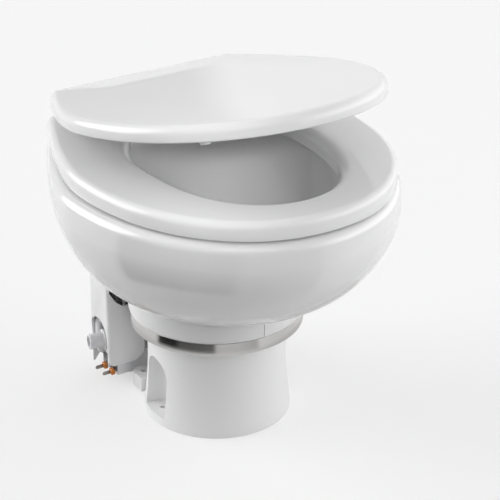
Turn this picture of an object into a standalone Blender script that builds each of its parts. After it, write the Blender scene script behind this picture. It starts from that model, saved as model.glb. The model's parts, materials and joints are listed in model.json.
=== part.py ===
"""Electric marine toilet: ceramic bowl clamped on a round pedestal that holds a macerator pump.

Metres, +Z up, front towards -Y. The origin is on the floor, on the pedestal's axis.
"""
import math

import bmesh
import bpy
from mathutils import Matrix, Vector

for old in list(bpy.data.objects):
    bpy.data.objects.remove(old, do_unlink=True)

TURN = 2 * math.pi
QUARTER = math.pi / 2

# Shared clearances
GAP = 0.0003
RUNNING_GAP = 0.0010
OVERRUN = 0.0040

# Counts of faces round the pieces
LARGE_STEPS = 40
MEDIUM_STEPS = 28
SMALL_STEPS = 12
NICHE_STEPS = 5
FRONT_STEPS = 12
SIDE_STEPS = 3
CORNER_STEPS = 3
BELLY_STEPS = 8

# Pedestal
FOOT_RADIUS = 0.0877
COLUMN_RADIUS = 0.0820
COLUMN_WALL = 0.0040
FLOOR_THICKNESS = 0.0040
FLARE_HEIGHT = 0.0850
FOOT_EDGE_HEIGHT = 0.0030
PEDESTAL_HEIGHT = 0.1285
FLANGE_RADIUS = 0.0945
FLANGE_THICKNESS = 0.0085
STEP_LINE_HEIGHT = 0.0900
STEP_LINE_DEPTH = 0.0005

# Screw niches in the pedestal's two sides
NICHE_RADIUS = 0.0230
NICHE_BACK_X = 0.0560
NICHE_Y = 0.0040
NICHE_LEDGE_HEIGHT = 0.0100
NICHE_TOP = 0.0815
NICHE_WALL = 0.0035
FLOOR_SCREW_RADIUS = 0.0032
NICHE_SCREW_X = 0.0720
NICHE_SCREW_Y = 0.0070

# Rear lugs of the pedestal
LUG_X = 0.0545
LUG_Y = 0.0830
LUG_RADIUS = 0.0130
LUG_THICKNESS = 0.0180
LUG_HOLE_RADIUS = 0.0036

# Boss for the service bracket
BOSS_WIDTH = 0.0480
BOSS_BACK_Y = 0.0850
BOSS_BOTTOM = 0.0300
BOSS_HEIGHT = 0.0300

# Joint between pedestal and bowl
BOWL_SEAL_THICKNESS = 0.0020
BOWL_SEAL_WIDTH = 0.0110
BOWL_FOOT_THICKNESS = 0.0100
CLAMP_LIP = 0.0022
CLAMP_WALL = 0.0055
CLAMP_SHOULDER = 0.0026
CLAMP_TOP_HEIGHT = 0.0165
CLAMP_SEAM = 0.0008
BAND_HEIGHT = 0.0155
BAND_THICKNESS = 0.0008
CLASP_ANGLE = math.radians(42)
CLASP_GAP = 0.0100
CLASP_EAR_LENGTH = 0.0125
CLASP_EAR_THICKNESS = 0.0016
CLASP_BOLT_RADIUS = 0.0020
CLASP_HEAD_RADIUS = 0.0040
CLASP_HEAD_LENGTH = 0.0030

# Bowl
BOWL_WIDTH = 0.3840
BOWL_FRONT_Y = -0.2370
BOWL_BACK_Y = 0.2000
BOWL_BACK_WIDTH = 0.2420
BOWL_CORNER = 0.0300
WIDEST_Y = -0.0075
BELLY_FOOT_RADIUS = 0.0965
NECK_RADIUS = 0.0870
NECK_HEIGHT = 0.0185
BELLY_RISE = 0.0365
BELLY_HEIGHT_SHARE = 0.8633
BOWL_RISE = 0.1865
RIM_ROUND = 0.0110
SIDE_POWER = 1.5
FRONT_POWER = 2.14
BOWL_FRONT_POWER = 2.0
BELLY_SIDE_POWER = 1.6
BELLY_FRONT_POWER = 1.7
BELLY_BACK_POWER = 1.4
CORE = 0.0010
BACK_CORE_SHARE = 0.4

# Inside of the bowl
BASIN_WIDTH = 0.2580
BASIN_FRONT_Y = -0.1920
BASIN_BACK_Y = 0.1160
BASIN_BACK_WIDTH = 0.1700
BASIN_CORNER = 0.0700
BASIN_EDGE_ROUND = 0.0060
BASIN_RISE = 0.0215
BASIN_POWER = 2.1
OUTLET_RADIUS = 0.0260
SPIGOT_WALL = 0.0050
SPIGOT_DROP = 0.0100

# Recess under the bowl's rear deck
DECK_THICKNESS = 0.0125
RECESS_FRONT_Y = 0.1500
RECESS_SIDE_CLEARANCE = 0.0055
RECESS_RISE = 0.0765

# Seat
SEAT_WIDTH = 0.3620
SEAT_FRONT_Y = -0.2318
SEAT_BACK_Y = 0.1700
SEAT_BACK_WIDTH = 0.2620
SEAT_CORNER = 0.0160
SEAT_THICKNESS = 0.0214
SEAT_LIFT = 0.0032
SEAT_EDGE_ROUND = 0.0090
SEAT_HOLE_WIDTH = 0.2054
SEAT_HOLE_FRONT_Y = -0.1810
SEAT_HOLE_BACK_Y = 0.0995
SEAT_HOLE_WIDEST_Y = -0.0143
SEAT_HOLE_BACK_WIDTH = 0.1700
SEAT_HOLE_CORNER = 0.0750
SEAT_HOLE_BEVEL = 0.0140
SEAT_HOLE_BEVEL_DROP = 0.0110

# Lid
LID_WIDTH = 0.3510
LID_FRONT_Y = -0.2180
LID_BACK_Y = 0.1670
LID_BACK_WIDTH = 0.2520
LID_CORNER = 0.0160
LID_THICKNESS = 0.0180
LID_CROWN = 0.0016
LID_CROWN_SHARE = 0.55
LID_EDGE_ROUND = 0.0095
LID_LIFT = 0.0085
LID_REST_ANGLE = math.radians(11.6)

# Hinge
HINGE_Y = 0.1820
HINGE_HEIGHT = 0.0300
HINGE_SPACING = 0.1550
POST_RADIUS = 0.0065
PIN_RADIUS = 0.0035
PIN_HEAD_RADIUS = 0.0055
PIN_HEAD_LENGTH = 0.0020
KNUCKLE_RADIUS = 0.0072
KNUCKLE_WIDTH = 0.0130
KNUCKLE_SIDE_GAP = 0.0012
ARM_THICKNESS = 0.0090
ARM_ROOT = 0.0200
STUD_RADIUS = 0.0040
STUD_LENGTH = 0.0400
DECK_HOLE_RADIUS = 0.0048
NUT_FLANGE_RADIUS = 0.0110
NUT_FLANGE_THICKNESS = 0.0020
NUT_HUB_RADIUS = 0.0065
NUT_HUB_HEIGHT = 0.0090
NUT_WING_SPAN = 0.0300
NUT_WING_THICKNESS = 0.0030

# Bumpers
SEAT_BUMPER_RADIUS = 0.0085
SEAT_BUMPER_DIRECTIONS = (math.radians(-52), math.radians(8))
SEAT_BUMPER_SHARE = 0.87
LID_BUMPER_RADIUS = 0.0060
LID_BUMPER_DIRECTION = math.radians(-50)
LID_BUMPER_INSET_SHARE = 0.62

# Pump and motor
MOTOR_RADIUS = 0.0340
MOTOR_WALL = 0.0015
PUMP_HEAD_HEIGHT = 0.0581
MOTOR_BOTTOM_THICKNESS = 0.0020
BEARING_RADIUS = 0.0090
BEARING_HEIGHT = 0.0045
BEARING_CUP_WALL = 0.0020
SHAFT_RADIUS = 0.0040
ARMATURE_RADIUS = 0.0290
ARMATURE_CLEARANCE = 0.0284
ARMATURE_LIFT = 0.0140
END_PLATE_RADIUS = 0.0365
END_PLATE_THICKNESS = 0.0070
BACKPLATE_THICKNESS = 0.0030
SHAFT_SEAL_RADIUS = 0.0100
HOUSING_RADIUS = 0.0600
HOUSING_WALL = 0.0030
HOUSING_HEIGHT = 0.0276
COLLAR_WALL = 0.0040
COLLAR_HEIGHT = 0.0110
OUTLET_SEAL_THICKNESS = 0.0032
OUTLET_SEAL_HEIGHT = 0.0080
IMPELLER_RADIUS = 0.0460
IMPELLER_DISC = 0.0022
IMPELLER_LIFT = 0.0025
IMPELLER_VANE_HEIGHT = 0.0052
IMPELLER_VANE_THICKNESS = 0.0030
IMPELLER_VANES = 6
ROTOR_HUB_RADIUS = 0.0085
CHOPPER_LIFT = 0.0110
CHOPPER_THICKNESS = 0.0020
CHOPPER_HOLES = 8
CHOPPER_FIRST_ANGLE = math.radians(7)
CHOPPER_HOLE_RADIUS = 0.0060
CHOPPER_HOLE_CIRCLE = 0.0350
CHOPPER_BORE = 0.0095
BLADE_LENGTH = 0.0840
BLADE_WIDTH = 0.0140
BLADE_THICKNESS = 0.0022
BLADE_LIFT = 0.0012
SHAFT_HEAD_RADIUS = 0.0075
SHAFT_HEAD_HEIGHT = 0.0040

# Discharge line
DISCHARGE_X = -0.0500
DISCHARGE_DROP = 0.0300
SPOUT_RADIUS = 0.0090
SPOUT_BORE = 0.0070
SPOUT_END_Y = 0.0930
HOSE_WALL = 0.0026
HOSE_START_Y = 0.0790
HOSE_BEND = 0.0180
HOSE_END_Z = 0.0680
COLUMN_PORT_RADIUS = 0.0130
CLIP_WIDTH = 0.0060
CLIP_THICKNESS = 0.0008
CLIP_INSET = 0.0030
ELBOW_Y = 0.1150
ELBOW_Z = 0.0525
ELBOW_TOP_Z = 0.0800
ELBOW_BEND = 0.0140
ELBOW_WALL = 0.0022
ELBOW_SWING = math.radians(12)
NOZZLE_REACH = 0.0570
NOZZLE_RADIUS = 0.0112
NOZZLE_TIP_RADIUS = 0.0090
NOZZLE_COLLAR_RADIUS = 0.0128
NOZZLE_COLLAR_WIDTH = 0.0040
NOZZLE_COLLAR_REACH = 0.0350
NOZZLE_LIP_RADIUS = 0.0099
NOZZLE_LIP_WIDTH = 0.0030
JOKER_LENGTH = 0.0130
JOKER_WALL = 0.0012

# Rear cover
COVER_HALF_WIDTH = 0.0935
COVER_FRONT_Y = 0.0980
COVER_BACK_Y = 0.1500
COVER_BOTTOM = 0.0262
COVER_TOP = 0.1500
COVER_WALL = 0.0030
COVER_FRONT_CORNER = 0.0050
COVER_BACK_CORNER = 0.0120
COVER_LOWER_CORNER = 0.0085
COVER_INNER_CORNER = 0.0150
COVER_LEG_BOTTOM = 0.0130
COVER_LEG_FRONT_Y = 0.1455
COVER_ARCH_SIDE = 0.0050
COVER_ARCH_RISE = 0.0180
COVER_WING_TOP = 0.1042
COVER_WING_EDGE_X = 0.0440
COVER_SCOOP_WIDTH = 0.0185
COVER_SCOOP_RISE = 0.0220
COVER_ROOF_FRONT_Y = 0.1070
SLOT_HALF_WIDTH = 0.0218
SLOT_SPRING = 0.0570
SLOT_TOP = 0.0840
COVER_HOSE_HOLE_RADIUS = 0.0100

# Service bracket behind the pedestal
BRACKET_THICKNESS = 0.0020
BRACKET_BOTTOM = 0.0340
BRACKET_LEFT_X = -0.0765
BRACKET_RIGHT_X = 0.0320
BRACKET_FRONT_Y = 0.1030
BRACKET_TONGUE_WIDTH = 0.0400
BRACKET_FLANGE_HEIGHT = 0.0220
SCREW_RADIUS = 0.0020
SCREW_HEAD_RADIUS = 0.0042
SCREW_HEAD_LENGTH = 0.0024
SCREW_LENGTH = 0.0095

# Solenoid water valve
COIL_LEFT_X = -0.0797
COIL_LENGTH = 0.0182
COIL_FRONT_Y = 0.1030
COIL_DEPTH = 0.0315
COIL_BOTTOM = 0.0090
YOKE_THICKNESS = 0.0031
YOKE_DEPTH = 0.0300
YOKE_HEIGHT = 0.0130
TERMINAL_LENGTH = 0.0055
TERMINAL_WIDTH = 0.0085
TERMINAL_HEIGHT = 0.0070
TERMINAL_SPACING = 0.0180
TERMINAL_FORWARD = 0.0040
TERMINAL_LIFT = 0.0030
SPADE_LENGTH = 0.0100
SPADE_WIDTH = 0.0048
SPADE_THICKNESS = 0.0010
SPADE_TIP_SHARE = 0.55
PLUNGER_RADIUS = 0.0048
PLUNGER_BORE_GAP = 0.0006
PLUNGER_LENGTH = 0.0160
SPRING_RADIUS = 0.0034
SPRING_WIRE = 0.0005
SPRING_TURNS = 5
VALVE_LENGTH = 0.0310
VALVE_FRONT_Y = 0.1080
VALVE_BACK_Y = 0.1465
VALVE_BORE_DEPTH = 0.0110
INLET_RADIUS = 0.0100
INLET_BORE = 0.0060
INLET_LENGTH = 0.0240
INLET_NUT_RADIUS = 0.0118
INLET_NUT_LENGTH = 0.0060
INLET_X_SHARE = 0.55

# Rinse line
RINSE_PIPE_RADIUS = 0.0050
RINSE_PIPE_BORE = 0.0034
RINSE_PIPE_X = -0.0830
RINSE_PIPE_Y = 0.1412
RINSE_PIPE_LOW_Z = 0.0265
RINSE_PIPE_TOP_Z = 0.0755
RINSE_PIPE_BEND = 0.0085
ANTISIPHON_X = -0.0745
ANTISIPHON_Y = 0.1165
ANTISIPHON_RADIUS = 0.0105
ANTISIPHON_BOTTOM = 0.0665
ANTISIPHON_HEIGHT = 0.0470
ANTISIPHON_CAP_RADIUS = 0.0112
ANTISIPHON_CAP_HEIGHT = 0.0060
ANTISIPHON_SPOUT_RADIUS = 0.0042
ANTISIPHON_SPOUT_HEIGHT = 0.0060
RINSE_HOSE_WALL = 0.0022
RINSE_FITTING_X = -0.0300
RINSE_FITTING_Y = 0.1670
RINSE_FITTING_SHARE = 0.5846
RINSE_FITTING_RADIUS = 0.0046
RINSE_FITTING_BORE = 0.0030
RINSE_FITTING_DROP = 0.0260
RINSE_FLANGE_RADIUS = 0.0110
RINSE_FLANGE_THICKNESS = 0.0025
RINSE_HOLE_RADIUS = 0.0052
RINSE_HOSE_OVERLAP = 0.0120
RINSE_NOZZLE_RADIUS = 0.0085
RINSE_NOZZLE_LENGTH = 0.0060
RINSE_FITTING_REACH = 0.0060
HOSE_POINT_STEPS = 3
RINSE_ROUTE_SHARES = (
    (0.00, 0.02, 0.18),
    (0.04, 0.10, 0.33),
    (0.19, 0.41, 0.47),
    (0.48, 0.78, 0.62),
    (0.78, 0.99, 0.78),
    (0.96, 1.02, 0.90),
)

# Heights that follow from the stack of pieces
FLANGE_BOTTOM = PEDESTAL_HEIGHT - FLANGE_THICKNESS
MOTOR_HEIGHT = PEDESTAL_HEIGHT - PUMP_HEAD_HEIGHT
ARMATURE_HEIGHT = MOTOR_HEIGHT - ARMATURE_CLEARANCE
DISCHARGE_Z = PEDESTAL_HEIGHT - DISCHARGE_DROP
SPIGOT_BOTTOM = PEDESTAL_HEIGHT - SPIGOT_DROP
BASIN_BOTTOM = PEDESTAL_HEIGHT + BASIN_RISE
BELLY_BOTTOM = PEDESTAL_HEIGHT + BELLY_RISE
BELLY_HEIGHT = (BOWL_RISE - RIM_ROUND - BELLY_RISE) * BELLY_HEIGHT_SHARE
RECESS_BOTTOM = PEDESTAL_HEIGHT + RECESS_RISE
RIM_TOP = PEDESTAL_HEIGHT + BOWL_RISE
SEAT_BOTTOM = RIM_TOP + SEAT_LIFT
BOWL_SEAL_BOTTOM = PEDESTAL_HEIGHT + GAP
BOWL_FOOT_BOTTOM = BOWL_SEAL_BOTTOM + BOWL_SEAL_THICKNESS + GAP
BOWL_FOOT_TOP = BOWL_FOOT_BOTTOM + BOWL_FOOT_THICKNESS
BOWL_FOOT_RADIUS = FLANGE_RADIUS
CLAMP_BOTTOM = FLANGE_BOTTOM - GAP - CLAMP_LIP
CLAMP_RADIUS = FLANGE_RADIUS + RUNNING_GAP + CLAMP_WALL
CLAMP_TOP = BOWL_FOOT_TOP + CLAMP_TOP_HEIGHT
BAND_INNER = CLAMP_RADIUS + GAP
BAND_OUTER = BAND_INNER + BAND_THICKNESS
BAND_BOTTOM = CLAMP_BOTTOM
BAND_TOP = BAND_BOTTOM + BAND_HEIGHT
COLUMN_INNER = COLUMN_RADIUS - COLUMN_WALL
HINGE_Z = RIM_TOP + HINGE_HEIGHT
SEAT_TOP = SEAT_BOTTOM + SEAT_THICKNESS
LID_BOTTOM = SEAT_TOP + LID_LIFT
DECK_BOTTOM = RIM_TOP - DECK_THICKNESS
RINSE_FITTING_Z = RECESS_BOTTOM + (DECK_BOTTOM - RECESS_BOTTOM) * RINSE_FITTING_SHARE
RECESS_WIDTH = HINGE_SPACING + NUT_WING_SPAN + 2 * RECESS_SIDE_CLEARANCE
MOTOR_BOTTOM = FLOOR_THICKNESS + GAP
MOTOR_TOP = MOTOR_BOTTOM + MOTOR_HEIGHT
END_PLATE_BOTTOM = MOTOR_TOP + GAP
END_PLATE_TOP = END_PLATE_BOTTOM + END_PLATE_THICKNESS
BACKPLATE_BOTTOM = END_PLATE_TOP + GAP
BACKPLATE_TOP = BACKPLATE_BOTTOM + BACKPLATE_THICKNESS
HOUSING_BOTTOM = BACKPLATE_TOP + GAP
HOUSING_TOP = HOUSING_BOTTOM + HOUSING_HEIGHT
HOUSING_INNER = HOUSING_RADIUS - HOUSING_WALL
SPIGOT_RADIUS = OUTLET_RADIUS + SPIGOT_WALL
COLLAR_INNER = SPIGOT_RADIUS + OUTLET_SEAL_THICKNESS + 2 * GAP
COIL_RIGHT_X = COIL_LEFT_X + COIL_LENGTH
COIL_TOP = BRACKET_BOTTOM - GAP
COIL_Y = COIL_FRONT_Y + COIL_DEPTH / 2
COIL_Z = (COIL_BOTTOM + COIL_TOP) / 2
VALVE_LEFT_X = COIL_RIGHT_X + GAP
VALVE_RIGHT_X = VALVE_LEFT_X + VALVE_LENGTH
INLET_Z = COVER_BOTTOM - RUNNING_GAP - INLET_RADIUS
BRACKET_TOP = BRACKET_BOTTOM + BRACKET_THICKNESS
BRACKET_BACK_Y = COVER_BACK_Y - COVER_WALL - GAP


def finish(name, colour, roughness, metallic=0.0):
    """A plain material with the piece's own colour."""
    material = bpy.data.materials.new(name)
    material.use_nodes = True
    shader = material.node_tree.nodes["Principled BSDF"]
    shader.inputs["Base Color"].default_value = (*colour, 1.0)
    shader.inputs["Roughness"].default_value = roughness
    shader.inputs["Metallic"].default_value = metallic
    material.diffuse_color = (*colour, 1.0)
    return material


CERAMIC = finish("glazed_ceramic", (0.86, 0.86, 0.85), 0.08)
SEAT_WHITE = finish("seat_white", (0.85, 0.85, 0.84), 0.18)
PEDESTAL_WHITE = finish("pedestal_white", (0.84, 0.84, 0.84), 0.30)
STEEL = finish("stainless_steel", (0.62, 0.61, 0.60), 0.25, 1.0)
RUBBER = finish("black_rubber", (0.03, 0.03, 0.03), 0.55)
WHITE_RUBBER = finish("bumper_white", (0.74, 0.74, 0.73), 0.55)
BLACK_PLASTIC = finish("black_plastic", (0.05, 0.05, 0.05), 0.40)
PIPE_WHITE = finish("pipe_white", (0.80, 0.80, 0.80), 0.35)
ORANGE = finish("orange_plastic", (0.62, 0.22, 0.04), 0.40)
BRASS = finish("tinned_brass", (0.62, 0.58, 0.50), 0.30, 1.0)
MOTOR_PAINT = finish("motor_paint", (0.10, 0.10, 0.11), 0.45)
GREY_PLASTIC = finish("grey_plastic", (0.35, 0.36, 0.37), 0.45)


def skin(rings, wrap=False):
    """One closed surface through a list of rings; a ring of one point is a pole."""
    mesh = bmesh.new()
    rows = [[mesh.verts.new(point) for point in ring] for ring in rings]
    pairs = list(zip(rows, rows[1:]))
    if wrap:
        pairs.append((rows[-1], rows[0]))
    for lower, upper in pairs:
        count = max(len(lower), len(upper))
        for index in range(count):
            after = (index + 1) % count
            if len(lower) == 1:
                mesh.faces.new((lower[0], upper[after], upper[index]))
            elif len(upper) == 1:
                mesh.faces.new((lower[index], lower[after], upper[0]))
            else:
                mesh.faces.new((lower[index], lower[after], upper[after], upper[index]))
    if not wrap:
        for row in (rows[0], rows[-1]):
            if len(row) > 1:
                mesh.faces.new(row)
    bmesh.ops.recalc_face_normals(mesh, faces=mesh.faces)
    return mesh


def piece(name, mesh, material, parent=None):
    """Turn a bmesh in world places into an object that hangs on its parent."""
    data = bpy.data.meshes.new(name)
    if parent is not None:
        bmesh.ops.translate(mesh, verts=mesh.verts, vec=-parent.location)
    mesh.to_mesh(data)
    mesh.free()
    data.shade_smooth()
    data.set_sharp_from_angle(angle=math.radians(32))
    data.materials.append(material)
    result = bpy.data.objects.new(name, data)
    bpy.context.scene.collection.objects.link(result)
    if parent is not None:
        result.parent = parent
    return result


def axis_empty(name, location):
    """An empty on a joint's axis."""
    empty = bpy.data.objects.new(name, None)
    empty.location = location
    bpy.context.scene.collection.objects.link(empty)
    return empty


def tool(name, mesh, parent=None):
    """A solid that only shapes another piece."""
    result = piece(name, mesh, GREY_PLASTIC, parent)
    result.hide_render = True
    result.display_type = "WIRE"
    return result


def combine(target, other, operation):
    """Cut a tool from a piece, or join it on."""
    modifier = target.modifiers.new(other.name, "BOOLEAN")
    modifier.operation = operation
    modifier.solver = "EXACT"
    modifier.object = other


def circle(radius, height, steps, centre=(0.0, 0.0)):
    """A level ring of points."""
    return [
        (centre[0] + radius * math.cos(TURN * step / steps), centre[1] + radius * math.sin(TURN * step / steps), height)
        for step in range(steps)
    ]


def turned(profile, steps, centre=(0.0, 0.0), wrap=True):
    """A lathe shape round a vertical axis, from (radius, height) pairs."""
    rings = []
    for radius, height in profile:
        if radius == 0:
            rings.append([(centre[0], centre[1], height)])
        else:
            rings.append(circle(radius, height, steps, centre))
    return skin(rings, wrap)


def turned_part(profile, steps, first, last):
    """Part of a lathe shape, from one angle to another, with flat ends."""
    rings = []
    for step in range(steps + 1):
        angle = first + (last - first) * step / steps
        rings.append([(radius * math.cos(angle), radius * math.sin(angle), height) for radius, height in profile])
    return skin(rings)


def rod(start, end, radius, steps, tip_radius=None):
    """A solid round bar between two points."""
    start, end = Vector(start), Vector(end)
    return skin(sweep_rings([start, end], [radius, radius if tip_radius is None else tip_radius], steps))


def block(low, high):
    """A box between two corners."""
    rings = []
    for height in (low[2], high[2]):
        rings.append([(low[0], low[1], height), (high[0], low[1], height), (high[0], high[1], height),
                      (low[0], high[1], height)])
    return skin(rings)


def sweep_rings(path, radii, steps):
    """Rings square to a path, carried along it without twist."""
    points = [Vector(point) for point in path]
    rings = []
    side = None
    for index, point in enumerate(points):
        before = points[max(index - 1, 0)]
        after = points[min(index + 1, len(points) - 1)]
        ahead = ((point - before).normalized() + (after - point).normalized()).normalized()
        if side is None:
            side = ahead.orthogonal().normalized()
        side = (side - ahead * side.dot(ahead)).normalized()
        other = ahead.cross(side)
        radius = radii[index]
        rings.append([
            point + radius * (math.cos(TURN * step / steps) * side + math.sin(TURN * step / steps) * other)
            for step in range(steps)
        ])
    return rings


def pipe(path, outer, inner, steps):
    """A hollow tube along a path, with open ends."""
    count = len(path)
    outer_rings = sweep_rings(path, outer if isinstance(outer, list) else [outer] * count, steps)
    inner_rings = sweep_rings(path, inner if isinstance(inner, list) else [inner] * count, steps)
    return skin(outer_rings + inner_rings[::-1], wrap=True)


def filleted(corners, radius, steps):
    """A path through corners, with each inner corner rounded to an arc."""
    corners = [Vector(corner) for corner in corners]
    path = [corners[0]]
    for before, corner, after in zip(corners, corners[1:], corners[2:]):
        back = (before - corner).normalized()
        ahead = (after - corner).normalized()
        half = back.angle(ahead) / 2
        reach = radius / math.tan(half)
        centre = corner + (back + ahead).normalized() * (radius / math.sin(half))
        first = corner + back * reach - centre
        last = corner + ahead * reach - centre
        swing = first.angle(last)
        axis = first.cross(last).normalized()
        for step in range(steps + 1):
            path.append(centre + Matrix.Rotation(swing * step / steps, 3, axis) @ first)
    path.append(corners[-1])
    return path


def smooth(points, steps):
    """A smooth curve through hand-placed points."""
    points = [Vector(point) for point in points]
    padded = [2 * points[0] - points[1]] + points + [2 * points[-1] - points[-2]]
    path = []
    for a, b, c, d in zip(padded, padded[1:], padded[2:], padded[3:]):
        for step in range(steps):
            t = step / steps
            path.append(0.5 * (2 * b + (c - a) * t + (2 * a - 5 * b + 4 * c - d) * t ** 2
                               + (3 * b - a - 3 * c + d) * t ** 3))
    path.append(points[-1])
    return path


def egg(half_width, front_y, back_y, back_half, corner, height, widest_y=WIDEST_Y, power=BOWL_FRONT_POWER):
    """A level outline: elliptical front, sides that draw in, and a straight back with round corners."""
    core_half = half_width - corner
    core_front = widest_y - front_y - corner
    core_back = back_y - widest_y - corner
    core_back_half = back_half - corner
    draw_in = core_half - core_back_half
    steepest = math.atan2(SIDE_POWER * draw_in, core_back)
    half = []
    for step in range(FRONT_STEPS + 1):
        angle = -QUARTER + QUARTER * step / FRONT_STEPS
        across = (core_half * abs(math.cos(angle))) ** (1 / (power - 1))
        along = (core_front * abs(math.sin(angle))) ** (1 / (power - 1))
        reach = (across ** power + along ** power) ** (1 / power)
        half.append((core_half * across / reach + corner * math.cos(angle),
                     widest_y - core_front * along / reach + corner * math.sin(angle)))
    for step in range(1, SIDE_STEPS + 1):
        angle = steepest * step / SIDE_STEPS
        share = (math.tan(angle) / math.tan(steepest)) ** (1 / (SIDE_POWER - 1))
        half.append((core_half - draw_in * share ** SIDE_POWER + corner * math.cos(angle),
                     widest_y + core_back * share + corner * math.sin(angle)))
    for step in range(1, CORNER_STEPS + 1):
        angle = steepest + (QUARTER - steepest) * step / CORNER_STEPS
        half.append((core_back_half + corner * math.cos(angle), widest_y + core_back + corner * math.sin(angle)))
    half[0] = (0.0, half[0][1])
    right = [(x, y, height) for x, y in half]
    left = [(-x, y, height) for x, y in reversed(half[1:])]
    return right + left


def round_ring(radius, height):
    """A circle with the egg outline's points, round the pedestal's axis."""
    corner = radius - CORE
    return egg(radius, -radius, radius, corner + BACK_CORE_SHARE * CORE, corner, height, widest_y=0.0)


def superellipse(share, power):
    """How far out a belly has swung at a share of its height."""
    return (1 - (1 - share) ** power) ** (1 / power)


def arch_hull(radius, back_x, centre_y, outer_x, low, top, side):
    """A niche's space: a round back with a domed top, run straight out to the side."""
    mesh = bmesh.new()
    spring = top - radius
    middle_x = back_x + radius
    half_steps = NICHE_STEPS
    for step in range(2 * half_steps + 1):
        turn = QUARTER + math.pi * step / (2 * half_steps)
        for rise in range(half_steps + 1):
            lift = QUARTER * rise / half_steps
            reach = radius * math.cos(lift)
            point = (side * (middle_x + reach * math.cos(turn)), centre_y + reach * math.sin(turn),
                     spring + radius * math.sin(lift))
            mesh.verts.new(point)
        mesh.verts.new((side * (middle_x + radius * math.cos(turn)), centre_y + radius * math.sin(turn), low))
    for step in range(2 * half_steps + 1):
        lift = math.pi * step / (2 * half_steps)
        mesh.verts.new((side * outer_x, centre_y + radius * math.cos(lift), spring + radius * math.sin(lift)))
    for y in (centre_y - radius, centre_y + radius):
        mesh.verts.new((side * outer_x, y, low))
    bmesh.ops.remove_doubles(mesh, verts=mesh.verts, dist=GAP / 10)
    result = bmesh.ops.convex_hull(mesh, input=mesh.verts)
    unused = [item for item in result["geom_interior"] + result["geom_unused"] if isinstance(item, bmesh.types.BMVert)]
    bmesh.ops.delete(mesh, geom=unused, context="VERTS")
    bmesh.ops.recalc_face_normals(mesh, faces=mesh.faces)
    return mesh


def screw(name, head_end, direction, material=STEEL):
    """A round-headed screw; the point is where its head seats."""
    seat, direction = Vector(head_end), Vector(direction)
    path = [seat - direction * SCREW_HEAD_LENGTH, seat, seat, seat + direction * SCREW_LENGTH]
    ring = sweep_rings([path[0], path[3]], [SCREW_HEAD_RADIUS, SCREW_RADIUS], SMALL_STEPS)
    head = [Vector(point) for point in ring[0]]
    shank_tip = [Vector(point) for point in ring[1]]
    head_seat = [point + direction * SCREW_HEAD_LENGTH for point in head]
    shank_seat = [point - direction * SCREW_LENGTH for point in shank_tip]
    return piece(name, skin([head, head_seat, shank_seat, shank_tip]), material)


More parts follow.
